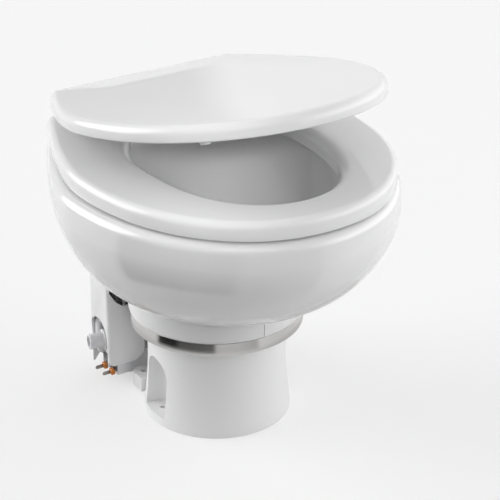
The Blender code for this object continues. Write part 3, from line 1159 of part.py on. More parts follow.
def make_discharge():
    """Hose from the pump, joker valve, and the elbow whose nozzle leaves the cover's slot."""
    hose_inner = SPOUT_RADIUS + GAP
    hose_outer = hose_inner + HOSE_WALL
    corners = [(DISCHARGE_X, HOSE_START_Y, DISCHARGE_Z), (DISCHARGE_X, ELBOW_Y, DISCHARGE_Z),
               (DISCHARGE_X, ELBOW_Y, HOSE_END_Z)]
    bend_steps = 6
    piece("discharge_hose", pipe(filleted(corners, HOSE_BEND, bend_steps), hose_outer, hose_inner, SMALL_STEPS),
          RUBBER)
    clip_inner = hose_outer + GAP
    start = HOSE_START_Y + CLIP_INSET
    piece("hose_clip_pump", pipe([(DISCHARGE_X, start, DISCHARGE_Z), (DISCHARGE_X, start + CLIP_WIDTH, DISCHARGE_Z)],
                                 clip_inner + CLIP_THICKNESS, clip_inner, SMALL_STEPS), STEEL)
    low = HOSE_END_Z + CLIP_INSET
    piece("hose_clip_elbow", pipe([(DISCHARGE_X, ELBOW_Y, low), (DISCHARGE_X, ELBOW_Y, low + CLIP_WIDTH)],
                                  clip_inner + CLIP_THICKNESS, clip_inner, SMALL_STEPS), STEEL)

    away = Vector((-math.cos(ELBOW_SWING), math.sin(ELBOW_SWING), 0))
    corner = Vector((DISCHARGE_X, ELBOW_Y, ELBOW_Z))
    tip = corner + away * NOZZLE_REACH
    bend = filleted([(DISCHARGE_X, ELBOW_Y, ELBOW_TOP_Z), corner, tip], ELBOW_BEND, bend_steps)
    collar = corner + away * NOZZLE_COLLAR_REACH
    lip = tip - away * NOZZLE_LIP_WIDTH
    path = [bend[0], Vector((DISCHARGE_X, ELBOW_Y, HOSE_END_Z - GAP)), *bend[1:-1]]
    radii = [SPOUT_RADIUS] * 2 + [NOZZLE_RADIUS] * (len(path) - 2)
    slim = (NOZZLE_TIP_RADIUS + NOZZLE_RADIUS) / 2
    for point, radius in ((collar - away * GAP, NOZZLE_RADIUS), (collar, NOZZLE_COLLAR_RADIUS),
                          (collar + away * NOZZLE_COLLAR_WIDTH, NOZZLE_COLLAR_RADIUS),
                          (collar + away * (NOZZLE_COLLAR_WIDTH + GAP), slim), (lip - away * GAP, NOZZLE_TIP_RADIUS),
                          (lip, NOZZLE_LIP_RADIUS), (tip, NOZZLE_TIP_RADIUS)):
        path.append(point)
        radii.append(radius)
    inner = SPOUT_RADIUS - ELBOW_WALL
    piece("discharge_elbow", pipe(path, radii, inner, SMALL_STEPS), PIPE_WHITE)
    valve_outer = inner - GAP
    valve_low = ELBOW_TOP_Z - JOKER_LENGTH
    slit = valve_outer / 4
    profile = [(valve_outer, ELBOW_TOP_Z), (valve_outer, ELBOW_TOP_Z - JOKER_LENGTH / 3),
               (slit + JOKER_WALL, valve_low), (slit, valve_low),
               (valve_outer - JOKER_WALL, ELBOW_TOP_Z - JOKER_LENGTH / 3), (valve_outer - JOKER_WALL, ELBOW_TOP_Z)]
    piece("joker_valve", turned(profile, SMALL_STEPS, (DISCHARGE_X, ELBOW_Y)), RUBBER)


def cover_outline(inset):
    """The cover's plan, from the front right wing round the back to the left wing."""
    half = COVER_HALF_WIDTH - inset
    front, back = COVER_FRONT_Y + inset, COVER_BACK_Y - inset
    front_corner = COVER_FRONT_CORNER - inset / 2
    back_corner = COVER_BACK_CORNER - inset
    points = []
    for centre, radius, first in (((half - front_corner, front + front_corner), front_corner, -QUARTER),
                                  ((half - back_corner, back - back_corner), back_corner, 0.0)):
        corner_steps = 4
        for step in range(corner_steps + 1):
            angle = first + QUARTER * step / corner_steps
            points.append((centre[0] + radius * math.cos(angle), centre[1] + radius * math.sin(angle)))
    return points + [(-x, y) for x, y in reversed(points)]


def corner_trim(x, z, turn_x, turn_z, radius, low_y, high_y):
    """What a rounded corner leaves off: a square corner less a quarter circle, as a bar along Y."""
    centre_x, centre_z = x + turn_x * radius, z + turn_z * radius
    points = [(x - turn_x * OVERRUN, z - turn_z * OVERRUN), (x - turn_x * OVERRUN, centre_z)]
    trim_steps = 6
    for step in range(trim_steps + 1):
        angle = QUARTER * step / trim_steps
        points.append((centre_x - turn_x * radius * math.cos(angle), centre_z - turn_z * radius * math.sin(angle)))
    points.append((centre_x, z - turn_z * OVERRUN))
    return skin([[(px, y, pz) for px, pz in points] for y in (low_y, high_y)])


def make_cover():
    """Rear cover: a hood open below and towards the pedestal, with a slot for the discharge nozzle."""
    outer = [[(x, y, height) for x, y in cover_outline(0)] for height in (COVER_LEG_BOTTOM, COVER_TOP)]
    cover = piece("rear_cover", skin(outer), PEDESTAL_WHITE)
    inner = [[(x, y, height) for x, y in cover_outline(COVER_WALL)]
             for height in (COVER_LEG_BOTTOM - OVERRUN, COVER_TOP - COVER_WALL)]
    combine(cover, tool("cover_space", skin(inner)), "DIFFERENCE")
    beyond = COVER_HALF_WIDTH + OVERRUN
    under = COVER_LEG_BOTTOM - OVERRUN
    front = COVER_FRONT_Y - OVERRUN
    trim = tool("cover_front_trim", block((-beyond, front, under), (beyond, COVER_LEG_FRONT_Y, COVER_BOTTOM)))
    combine(cover, trim, "DIFFERENCE")
    arch_edge = COVER_HALF_WIDTH - COVER_ARCH_SIDE
    arch_top = COVER_LEG_BOTTOM + COVER_ARCH_RISE
    arch_points = [(-arch_edge, under), (-arch_edge, COVER_LEG_BOTTOM), (COVER_ARCH_RISE - arch_edge, arch_top),
                   (arch_edge - COVER_ARCH_RISE, arch_top), (arch_edge, COVER_LEG_BOTTOM), (arch_edge, under)]
    arch_span = (COVER_LEG_FRONT_Y - COVER_WALL, COVER_BACK_Y + OVERRUN)
    back_arch = skin([[(x, y, z) for x, z in arch_points] for y in arch_span])
    combine(cover, tool("cover_back_arch", back_arch), "DIFFERENCE")
    middle = tool("cover_open_front", block(
        (-COVER_WING_EDGE_X, front, under),
        (COVER_WING_EDGE_X, COVER_FRONT_Y + COVER_FRONT_CORNER + GAP, COVER_TOP + OVERRUN)))
    combine(cover, middle, "DIFFERENCE")
    wing_back = COVER_FRONT_Y + COVER_WALL + GAP
    for label, side in (("left", -1), ("right", 1)):
        lower = corner_trim(side * COVER_HALF_WIDTH, COVER_BOTTOM, -side, 1, COVER_LOWER_CORNER, front, wing_back)
        combine(cover, tool("cover_lower_corner_" + label, lower), "DIFFERENCE")
        near = corner_trim(side * COVER_WING_EDGE_X, COVER_BOTTOM, side, 1, COVER_INNER_CORNER, front, wing_back)
        combine(cover, tool("cover_inner_corner_" + label, near), "DIFFERENCE")
    wide = COVER_HALF_WIDTH - COVER_WALL - GAP
    half_scoop = [(wide, COVER_TOP + OVERRUN), (wide, COVER_WING_TOP + COVER_SCOOP_RISE),
                  (wide - COVER_SCOOP_WIDTH / 2, COVER_WING_TOP + COVER_SCOOP_RISE / 3),
                  (wide - COVER_SCOOP_WIDTH, COVER_WING_TOP)]
    scoop_points = half_scoop + [(-x, z) for x, z in reversed(half_scoop)]
    scoop = skin([[(x, y, z) for x, z in scoop_points] for y in (front, COVER_ROOF_FRONT_Y)])
    combine(cover, tool("cover_scoop", scoop), "DIFFERENCE")

    slot_y = (COVER_FRONT_Y + COVER_BACK_Y) / 2
    arch = [(slot_y - SLOT_HALF_WIDTH, under)]
    arch_steps = 12
    for step in range(arch_steps + 1):
        angle = math.pi - math.pi * step / arch_steps
        arch.append((slot_y + SLOT_HALF_WIDTH * math.cos(angle),
                     SLOT_SPRING + (SLOT_TOP - SLOT_SPRING) * math.sin(angle)))
    arch.append((slot_y + SLOT_HALF_WIDTH, under))
    slot = skin([[(x, y, z) for y, z in arch] for x in (-beyond, -COVER_HALF_WIDTH + COVER_BACK_CORNER)])
    combine(cover, tool("cover_slot", slot), "DIFFERENCE")
    pass_radius = SPOUT_RADIUS + GAP + HOSE_WALL + CLIP_THICKNESS + GAP + RUNNING_GAP
    hose_pass = rod((DISCHARGE_X, front, DISCHARGE_Z),
                    (DISCHARGE_X, COVER_FRONT_Y + COVER_WALL + OVERRUN, DISCHARGE_Z), pass_radius, SMALL_STEPS)
    combine(cover, tool("cover_hose_pass", hose_pass), "DIFFERENCE")
    roof_middle = COVER_TOP - COVER_WALL / 2
    place = min(rinse_hose_path(), key=lambda point: abs(point.z - roof_middle))
    hole = rod((place.x, place.y, roof_middle - OVERRUN), (place.x, place.y, roof_middle + OVERRUN),
               COVER_HOSE_HOLE_RADIUS, SMALL_STEPS)
    combine(cover, tool("cover_hose_hole", hole), "DIFFERENCE")
    hole = rod(cover_screw_seat() + Vector((0, OVERRUN, 0)), cover_screw_seat() - Vector((0, OVERRUN + COVER_WALL, 0)),
               SCREW_RADIUS + GAP, SMALL_STEPS)
    combine(cover, tool("cover_screw_hole", hole), "DIFFERENCE")
    screw("cover_screw", cover_screw_seat() + Vector((0, GAP, 0)), (0, -1, 0))


def cover_screw_seat():
    """Where the cover's screw head seats on its back wall."""
    return Vector((0, COVER_BACK_Y, BRACKET_TOP + BRACKET_FLANGE_HEIGHT / 2))


def bracket_screw_seat():
    """Where the bracket's screw head seats on the bracket's front flange."""
    return Vector((0, BOSS_BACK_Y + GAP + BRACKET_THICKNESS, BRACKET_TOP + BRACKET_FLANGE_HEIGHT / 2))


def make_bracket():
    """A steel tray from the pedestal's boss to the cover, which carries the water valve."""
    half = BRACKET_TONGUE_WIDTH / 2
    front = BOSS_BACK_Y + GAP
    tray = block((BRACKET_LEFT_X, BRACKET_FRONT_Y, BRACKET_BOTTOM), (BRACKET_RIGHT_X, BRACKET_BACK_Y, BRACKET_TOP))
    bracket = piece("service_bracket", tray, STEEL)
    tongue = tool("bracket_tongue", block((-half, front, BRACKET_BOTTOM), (half, BRACKET_FRONT_Y + OVERRUN,
                                                                          BRACKET_TOP)))
    combine(bracket, tongue, "UNION")
    flanges = (("front", front, front + BRACKET_THICKNESS), ("back", BRACKET_BACK_Y - BRACKET_THICKNESS,
                                                            BRACKET_BACK_Y))
    for label, low_y, high_y in flanges:
        flange = tool("bracket_flange_" + label, block(
            (-half, low_y, BRACKET_BOTTOM), (half, high_y, BRACKET_TOP + BRACKET_FLANGE_HEIGHT)))
        combine(bracket, flange, "UNION")
    height = BRACKET_TOP + BRACKET_FLANGE_HEIGHT / 2
    bore = tool("bracket_holes", rod((0, front - OVERRUN, height), (0, BRACKET_BACK_Y + OVERRUN, height),
                                     SCREW_RADIUS + GAP, SMALL_STEPS))
    combine(bracket, bore, "DIFFERENCE")
    screw("bracket_screw", bracket_screw_seat() + Vector((0, GAP, 0)), (0, -1, 0))


def make_water_valve():
    """Solenoid coil with its yoke, terminals, plunger and spring, and the valve body with its inlet."""
    bore = PLUNGER_RADIUS + PLUNGER_BORE_GAP
    coil = piece("solenoid_coil", block((COIL_LEFT_X, COIL_FRONT_Y, COIL_BOTTOM),
                                        (COIL_RIGHT_X, COIL_FRONT_Y + COIL_DEPTH, COIL_TOP)), PIPE_WHITE)
    coil_bore = tool("coil_bore", rod((COIL_LEFT_X - OVERRUN, COIL_Y, COIL_Z), (COIL_RIGHT_X + OVERRUN, COIL_Y, COIL_Z),
                                      bore, SMALL_STEPS))
    combine(coil, coil_bore, "DIFFERENCE")
    yoke_right = COIL_LEFT_X - GAP
    yoke_left = yoke_right - YOKE_THICKNESS
    yoke_low = COIL_BOTTOM + TERMINAL_LIFT
    piece("solenoid_yoke", block((yoke_left, COIL_Y - YOKE_DEPTH / 2, COIL_Z - YOKE_HEIGHT / 2),
                                 (yoke_right, COIL_Y + YOKE_DEPTH / 2, COIL_Z + YOKE_HEIGHT / 2)), BLACK_PLASTIC)
    for label, side in (("front", -1), ("rear", 1)):
        centre_y = COIL_Y - TERMINAL_FORWARD + side * TERMINAL_SPACING / 2
        right = yoke_left - GAP
        left = right - TERMINAL_LENGTH
        low = yoke_low
        carrier = piece("terminal_block_" + label, block(
            (left, centre_y - TERMINAL_WIDTH / 2, low), (right, centre_y + TERMINAL_WIDTH / 2, low + TERMINAL_HEIGHT)),
            ORANGE)
        bevel = carrier.modifiers.new("edges", "BEVEL")
        bevel.width = GAP * 3
        bevel.segments = 1
        middle = low + TERMINAL_HEIGHT / 2
        width, thick = SPADE_WIDTH / 2, SPADE_THICKNESS / 2
        start, end = left - GAP, left - GAP - SPADE_LENGTH
        shoulder = start + (end - start) * (1 + SPADE_TIP_SHARE) / 2
        tip = width * SPADE_TIP_SHARE
        outline = [(start, middle - width), (shoulder, middle - width), (end, middle - tip), (end, middle + tip),
                   (shoulder, middle + width), (start, middle + width)]
        piece("spade_terminal_" + label, skin([[(x, y, z) for x, z in outline]
                                               for y in (centre_y - thick, centre_y + thick)]), BRASS)

    plunger_right = VALVE_LEFT_X + VALVE_BORE_DEPTH - GAP
    plunger_left = plunger_right - PLUNGER_LENGTH
    rest = Vector((plunger_left, COIL_Y, COIL_Z))
    axis = axis_empty("plunger_axis", rest)
    piece("solenoid_plunger", rod(rest, rest + Vector((PLUNGER_LENGTH, 0, 0)), PLUNGER_RADIUS, SMALL_STEPS), STEEL,
          axis)
    spring_left = yoke_right + SPRING_WIRE + GAP
    spring_right = plunger_left - SPRING_WIRE - GAP
    turn_points = 8
    helix = []
    for step in range(SPRING_TURNS * turn_points + 1):
        angle = TURN * step / turn_points
        along = spring_left + (spring_right - spring_left) * step / (SPRING_TURNS * turn_points)
        helix.append((along, COIL_Y + SPRING_RADIUS * math.cos(angle), COIL_Z + SPRING_RADIUS * math.sin(angle)))
    piece("plunger_spring", skin(sweep_rings(helix, [SPRING_WIRE] * len(helix), 6)), STEEL)

    body = piece("valve_body", block((VALVE_LEFT_X, VALVE_FRONT_Y, INLET_Z - INLET_RADIUS),
                                     (VALVE_RIGHT_X, VALVE_BACK_Y, COIL_TOP)), PIPE_WHITE)
    seat_bore = tool("valve_seat_bore", rod((VALVE_LEFT_X - OVERRUN, COIL_Y, COIL_Z),
                                            (VALVE_LEFT_X + VALVE_BORE_DEPTH, COIL_Y, COIL_Z), bore, SMALL_STEPS))
    combine(body, seat_bore, "DIFFERENCE")
    inlet_x = VALVE_LEFT_X + VALVE_LENGTH * INLET_X_SHARE
    start = VALVE_BACK_Y + GAP
    stations = [(start, INLET_NUT_RADIUS - RUNNING_GAP), (start + INLET_NUT_LENGTH, INLET_NUT_RADIUS - RUNNING_GAP),
                (start + INLET_NUT_LENGTH, INLET_RADIUS - RUNNING_GAP), (start + INLET_LENGTH, INLET_RADIUS - RUNNING_GAP)]
    outer = []
    for y, radius in stations:
        outer.append([(inlet_x + radius * math.cos(TURN * step / SMALL_STEPS), y,
                       INLET_Z + radius * math.sin(TURN * step / SMALL_STEPS)) for step in range(SMALL_STEPS)])
    inner = []
    for y in (start + INLET_LENGTH, start):
        inner.append([(inlet_x + INLET_BORE * math.cos(TURN * step / SMALL_STEPS), y,
                       INLET_Z + INLET_BORE * math.sin(TURN * step / SMALL_STEPS)) for step in range(SMALL_STEPS)])
    piece("water_inlet", skin(outer + inner, wrap=True), BRASS)


def rinse_hose_path():
    """The rinse hose's route: from the anti-siphon valve, up through the cover, to the bowl's rear fitting."""
    start = Vector((ANTISIPHON_X, ANTISIPHON_Y, ANTISIPHON_BOTTOM + ANTISIPHON_HEIGHT + ANTISIPHON_CAP_HEIGHT + GAP))
    fitting_end = Vector((RINSE_FITTING_X, RINSE_FITTING_Y, RINSE_FITTING_Z - RINSE_FITTING_DROP))
    straight = Vector((0, 0, RINSE_HOSE_OVERLAP / 2))
    finish_straight = fitting_end - straight
    way = finish_straight - start
    route = [Vector((start.x + way.x * x, start.y + way.y * y, start.z + way.z * z))
             for x, y, z in RINSE_ROUTE_SHARES]
    ends = [finish_straight, fitting_end, fitting_end + 2 * straight]
    return smooth([start, start + Vector((0, 0, ANTISIPHON_SPOUT_HEIGHT))] + route + ends, HOSE_POINT_STEPS)


def make_rinse_line():
    """White pipe from the valve, anti-siphon valve, hose, and the fitting and nozzle in the bowl."""
    outlet = Vector((VALVE_LEFT_X - GAP, RINSE_PIPE_Y, RINSE_PIPE_LOW_Z))
    low = Vector((RINSE_PIPE_X, RINSE_PIPE_Y, RINSE_PIPE_LOW_Z))
    high = Vector((RINSE_PIPE_X, RINSE_PIPE_Y, RINSE_PIPE_TOP_Z))
    valve = Vector((ANTISIPHON_X, ANTISIPHON_Y, RINSE_PIPE_TOP_Z))
    end = valve + (high - valve).normalized() * (ANTISIPHON_RADIUS + GAP)
    bend_steps = 5
    path = filleted([outlet, low, high, end], RINSE_PIPE_BEND, bend_steps)
    piece("rinse_pipe", pipe(path, RINSE_PIPE_RADIUS, RINSE_PIPE_BORE, SMALL_STEPS), PIPE_WHITE)

    top = ANTISIPHON_BOTTOM + ANTISIPHON_HEIGHT
    cap = top + ANTISIPHON_CAP_HEIGHT
    body = [(0.0, ANTISIPHON_BOTTOM), (ANTISIPHON_RADIUS, ANTISIPHON_BOTTOM), (ANTISIPHON_RADIUS, top),
            (ANTISIPHON_CAP_RADIUS, top), (ANTISIPHON_CAP_RADIUS, cap), (ANTISIPHON_SPOUT_RADIUS, cap),
            (ANTISIPHON_SPOUT_RADIUS, cap + ANTISIPHON_SPOUT_HEIGHT), (0.0, cap + ANTISIPHON_SPOUT_HEIGHT)]
    piece("antisiphon_valve", turned(body, SMALL_STEPS, (ANTISIPHON_X, ANTISIPHON_Y), wrap=False), BLACK_PLASTIC)

    inner = RINSE_FITTING_RADIUS + GAP
    piece("rinse_hose", pipe(rinse_hose_path(), inner + RINSE_HOSE_WALL, inner, SMALL_STEPS - 2), RUBBER)

    wall_y = RECESS_FRONT_Y + GAP
    corner = Vector((RINSE_FITTING_X, RINSE_FITTING_Y, RINSE_FITTING_Z))
    basin_y = basin_back_at(RINSE_FITTING_Z)
    route = filleted([corner - Vector((0, 0, RINSE_FITTING_DROP)), corner,
                      Vector((RINSE_FITTING_X, basin_y, RINSE_FITTING_Z))], RINSE_FITTING_RADIUS * 1.5, 4)
    flange_near = Vector((RINSE_FITTING_X, wall_y + RINSE_FLANGE_THICKNESS, RINSE_FITTING_Z))
    flange_far = Vector((RINSE_FITTING_X, wall_y, RINSE_FITTING_Z))
    slip = Vector((0, GAP / 2, 0))
    path = route[:-1] + [flange_near + slip, flange_near, flange_far + slip, flange_far, route[-1]]
    radii = [RINSE_FITTING_RADIUS] * (len(route)) + [RINSE_FLANGE_RADIUS] * 2 + [RINSE_FITTING_RADIUS] * 2
    piece("rinse_fitting", pipe(path, radii, RINSE_FITTING_BORE, SMALL_STEPS - 2), PIPE_WHITE)
    near = basin_y - GAP
    stations = [(near, RINSE_NOZZLE_RADIUS), (near - RINSE_NOZZLE_LENGTH / 2, RINSE_NOZZLE_RADIUS),
                (near - RINSE_NOZZLE_LENGTH, RINSE_NOZZLE_RADIUS / 2)]
    nozzle_path = [(RINSE_FITTING_X, y, RINSE_FITTING_Z) for y, _ in stations]
    piece("rinse_nozzle", skin(sweep_rings(nozzle_path, [radius for _, radius in stations], SMALL_STEPS)), PIPE_WHITE)


def basin_back_at(height):
    """How far back the rinse fitting reaches into the basin at a height."""
    share = (height - BASIN_BOTTOM) / (RIM_TOP - BASIN_EDGE_ROUND - BASIN_BOTTOM)
    return OUTLET_RADIUS + (BASIN_BACK_Y - OUTLET_RADIUS) * superellipse(share, BASIN_POWER) - RINSE_FITTING_REACH


make_pedestal()
make_clamp()
make_bowl()
make_seat()
make_lid()
make_hinge_hardware()
make_motor()
make_pump()
make_discharge()
make_cover()
make_bracket()
make_water_valve()
make_rinse_line()
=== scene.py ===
import json
from math import atan2, cos, pi, radians, sin, tan

import bmesh
import bpy
from mathutils import Matrix, Vector


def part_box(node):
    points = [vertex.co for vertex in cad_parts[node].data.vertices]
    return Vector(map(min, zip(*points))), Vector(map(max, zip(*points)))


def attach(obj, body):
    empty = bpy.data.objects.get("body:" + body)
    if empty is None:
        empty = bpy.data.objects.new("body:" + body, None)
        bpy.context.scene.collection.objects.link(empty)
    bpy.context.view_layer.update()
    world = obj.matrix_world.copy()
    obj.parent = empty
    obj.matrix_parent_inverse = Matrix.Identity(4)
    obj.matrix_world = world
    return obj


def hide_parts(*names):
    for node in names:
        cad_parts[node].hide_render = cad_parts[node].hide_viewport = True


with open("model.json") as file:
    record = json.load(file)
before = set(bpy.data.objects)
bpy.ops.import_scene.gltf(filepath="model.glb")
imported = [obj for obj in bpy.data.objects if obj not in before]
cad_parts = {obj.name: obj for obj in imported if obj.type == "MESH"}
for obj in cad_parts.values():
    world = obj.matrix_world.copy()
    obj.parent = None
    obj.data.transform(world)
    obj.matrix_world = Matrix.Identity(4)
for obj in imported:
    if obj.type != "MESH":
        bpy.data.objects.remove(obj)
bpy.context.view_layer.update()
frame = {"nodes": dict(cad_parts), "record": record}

TURN = 2 * pi
QUARTER = pi / 2
GAP = 0.0003
OVERRUN = 0.0040

# Counts of faces round the visible pieces
ROUND_STEPS = 128
PIPE_STEPS = 32
SMALL_STEPS = 24
FRONT_STEPS = 48
SIDE_STEPS = 10
CORNER_STEPS = 8
BELLY_STEPS = 64
BASIN_STEPS = 24
ROUNDING_STEPS = 8
NECK_STEPS = 4
NICHE_STEPS = 14
FLARE_STEPS = 10
BEND_STEPS = 12
HOSE_BEND_STEPS = 16

# Edges and creases
SOFT_EDGE_ANGLE = radians(35)
LUG_EDGE_ANGLE = radians(60)
FLAT_ANGLE = radians(1)
CREASE = radians(32)
FINE_CREASE = radians(28)
WELD = GAP / 30
HULL_WELD = GAP / 10
CORNER_REACH_SHARE = 0.45
LIP_SHARE = 0.25

# Bowl
BOWL_WIDTH = 0.3840
BOWL_FRONT_Y = -0.2370
BOWL_BACK_Y = 0.2000
BOWL_BACK_WIDTH = 0.2420
BOWL_CORNER = 0.0300
WIDEST_Y = -0.0075
FOOT_RADIUS = 0.0945
FOOT_BOTTOM = 0.1311
FOOT_TOP = 0.1411
NECK_RADIUS = 0.0870
NECK_TOP = 0.1596
BELLY_FOOT_RADIUS = 0.0965
BELLY_BOTTOM = 0.1650
BELLY_HEIGHT = 0.1200
RIM_TOP = 0.3150
RIM_ROUND = 0.0110
SIDE_POWER = 1.5
FRONT_POWER = 2.14
BOWL_FRONT_POWER = 2.0
BELLY_SIDE_POWER = 1.6
BELLY_FRONT_POWER = 1.7
BELLY_BACK_POWER = 1.4
BELLY_CORNER_POWER = 2
CORE = 0.0010
BACK_CORE_SHARE = 0.4
BASIN_WIDTH = 0.2580
BASIN_FRONT_Y = -0.1920
BASIN_BACK_Y = 0.1160
BASIN_BACK_WIDTH = 0.1700
BASIN_CORNER = 0.0700
BASIN_WIDEST_Y = -0.0143
BASIN_EDGE_ROUND = 0.0060
BASIN_BOTTOM = 0.1500
BASIN_POWER = 2.1
OUTLET_RADIUS = 0.0260
SPIGOT_RADIUS = 0.0310
SPIGOT_BOTTOM = 0.1185
DECK_BOTTOM = 0.3025
RECESS_WIDTH = 0.1960
RECESS_FRONT_Y = 0.1500
RECESS_BOTTOM = 0.2050

# Seat
SEAT_WIDTH = 0.3620
SEAT_FRONT_Y = -0.2318
SEAT_BACK_Y = 0.1700
SEAT_BACK_WIDTH = 0.2620
SEAT_CORNER = 0.0160
SEAT_BOTTOM = 0.3182
SEAT_TOP = 0.3396
SEAT_EDGE_ROUND = 0.0090
SEAT_HOLE_WIDTH = 0.2054
SEAT_HOLE_FRONT_Y = -0.1810
SEAT_HOLE_BACK_Y = 0.0995
SEAT_HOLE_BACK_WIDTH = 0.1700
SEAT_HOLE_CORNER = 0.0750
SEAT_HOLE_BEVEL = 0.0140
SEAT_HOLE_BEVEL_DROP = 0.0110

# Lid
LID_WIDTH = 0.3510
LID_FRONT_Y = -0.2180
LID_BACK_Y = 0.1670
LID_BACK_WIDTH = 0.2520
LID_CORNER = 0.0160
LID_BOTTOM = 0.3481
LID_THICKNESS = 0.0178
LID_CROWN = 0.0016
LID_CROWN_SHARE = 0.55
LID_CROWN_STEPS = 7
LID_EDGE_ROUND = 0.0095
LID_REST_ANGLE = radians(11.6)

# Hinge
HINGE_Y = 0.1820
HINGE_Z = 0.3450
HINGE_SPACING = 0.1550
POST_RADIUS = 0.0065
POST_EDGE = 0.0010
POST_EDGE_SHARE = 0.3
STUD_RADIUS = 0.0040
KNUCKLE_RADIUS = 0.0072
KNUCKLE_WIDTH = 0.0130
KNUCKLE_SIDE_GAP = 0.0012
ARM_THICKNESS = 0.0090
ARM_ROOT = 0.0200
ARM_EDGE = 0.0012

# Pedestal
PEDESTAL_FOOT_RADIUS = 0.0877
COLUMN_RADIUS = 0.0820
COLUMN_WALL = 0.0040
FLARE_HEIGHT = 0.0850
FOOT_EDGE_HEIGHT = 0.0030
PEDESTAL_HEIGHT = 0.1285
FLANGE_RADIUS = 0.0945
FLANGE_BOTTOM = 0.1200
STEP_LINE_HEIGHT = 0.0900
STEP_LINE_DEPTH = 0.0005
FLOOR_THICKNESS = 0.0040
NICHE_RADIUS = 0.0230
NICHE_BACK_X = 0.0560
NICHE_Y = 0.0040
NICHE_LEDGE_HEIGHT = 0.0100
NICHE_TOP = 0.0815
NICHE_WALL = 0.0035
NICHE_SCREW_RADIUS = 0.0032
NICHE_SCREW_X = 0.0720
NICHE_SCREW_Y = 0.0070
LUG_X = 0.0545
LUG_Y = 0.0830
LUG_RADIUS = 0.0130
LUG_THICKNESS = 0.0180
LUG_HOLE_RADIUS = 0.0036
BOSS_WIDTH = 0.0480
BOSS_BACK_Y = 0.0850
BOSS_BOTTOM = 0.0300
BOSS_HEIGHT = 0.0300
PORT_X = -0.0500
PORT_Z = 0.0985
PORT_RADIUS = 0.0130

# Clamp and band
CLAMP_BOTTOM = 0.1175
CLAMP_RADIUS = 0.1010
CLAMP_SHOULDER = 0.0026
CLAMP_TOP = 0.1576
CLAMP_LIP = 0.0022
CLAMP_SEAM = 0.0008
CLAMP_INNER = 0.0955
CLAMP_LOWER_LIP_RADIUS = 0.0835
CLAMP_NECK_RADIUS = 0.0880
BAND_INNER = 0.1013
BAND_OUTER = 0.1021
BAND_TOP = 0.1330
BAND_EDGE = 0.0002
CLASP_ANGLE = radians(42)
CLASP_GAP = 0.0100
CLASP_EAR_LENGTH = 0.0125
CLASP_EAR_THICKNESS = 0.0016

# Discharge elbow
ELBOW_Y = 0.1150
ELBOW_Z = 0.0525
ELBOW_TOP_Z = 0.0800
ELBOW_BEND = 0.0140
ELBOW_BORE = 0.0068
ELBOW_SWING = radians(12)
HOSE_END_Z = 0.0680
NOZZLE_REACH = 0.0570
NOZZLE_BASE_RADIUS = 0.0112
NOZZLE_TIP_RADIUS = 0.0090
NOZZLE_COLLAR_RADIUS = 0.0128
NOZZLE_COLLAR_REACH = 0.0350
NOZZLE_COLLAR_WIDTH = 0.0040
NOZZLE_LIP_RADIUS = 0.0099
NOZZLE_LIP_WIDTH = 0.0030
NOZZLE_EDGE = 0.0008
SPOUT_RADIUS = 0.0090
HOSE_WALL = 0.0026
HOSE_START_Y = 0.0790
HOSE_BEND = 0.0180

# Rinse line
RINSE_PIPE_RADIUS = 0.0050
RINSE_PIPE_BORE = 0.0034
RINSE_PIPE_X = -0.0830
RINSE_PIPE_Y = 0.1412
RINSE_PIPE_LOW_Z = 0.0265
RINSE_PIPE_TOP_Z = 0.0755
RINSE_PIPE_BEND = 0.0085
ANTISIPHON_X = -0.0745
ANTISIPHON_Y = 0.1165
ANTISIPHON_RADIUS = 0.0105
ANTISIPHON_BOTTOM = 0.0665
ANTISIPHON_HEIGHT = 0.0470
ANTISIPHON_CAP_RADIUS = 0.0112
ANTISIPHON_CAP_HEIGHT = 0.0060
ANTISIPHON_SPOUT_RADIUS = 0.0042
ANTISIPHON_SPOUT_HEIGHT = 0.0060
ANTISIPHON_THREADS = 6
ANTISIPHON_THREAD_DEPTH = 0.0009
ANTISIPHON_THREAD_SHARES = (0.30, 0.55, 0.85)
ANTISIPHON_RIBS = 18
RIB_STEPS = 4
ANTISIPHON_STEPS = ANTISIPHON_RIBS * RIB_STEPS
RINSE_FITTING_X = -0.0300
RINSE_FITTING_Y = 0.1670
RINSE_FITTING_Z = 0.2620
RINSE_FITTING_DROP = 0.0260
RINSE_HOSE_OVERLAP = 0.0120
RINSE_HOSE_BORE = 0.0049
RINSE_HOSE_RADIUS = 0.0071
HOSE_POINT_STEPS = 6
RINSE_ROUTE_SHARES = ((0.00, 0.02, 0.18), (0.04, 0.10, 0.33), (0.19, 0.41, 0.47), (0.48, 0.78, 0.62),
                      (0.78, 0.99, 0.78), (0.96, 1.02, 0.90))

# Widths of the rounded edges on the small pieces, by the body that each piece moves with
ROUNDED_EDGES = {
    "base": (("rear_cover", 0.0009), ("solenoid_coil", 0.0010), ("solenoid_yoke", 0.0004), ("valve_body", 0.0010),
             ("service_bracket", 0.0003), ("cover_screw", 0.0004), ("water_inlet", 0.0003),
             ("rinse_fitting", 0.0002), ("rinse_nozzle", 0.0006), ("hinge_pin_left", 0.0004),
             ("hinge_pin_right", 0.0004), ("wing_nut_left", 0.0005), ("wing_nut_right", 0.0005),
             ("band_bolt", 0.0003), ("band_nut", 0.0003), ("spade_terminal_front", 0.0002),
             ("spade_terminal_rear", 0.0002), ("terminal_block_front", 0.0006), ("terminal_block_rear", 0.0006),
             ("bracket_screw", 0.0003)),
    "seat_body": (("seat_bumper_front_left", 0.0003), ("seat_bumper_front_right", 0.0003),
                  ("seat_bumper_rear_left", 0.0003), ("seat_bumper_rear_right", 0.0003)),
    "lid_body": (("lid_bumper_left", 0.0006), ("lid_bumper_right", 0.0006)),
}

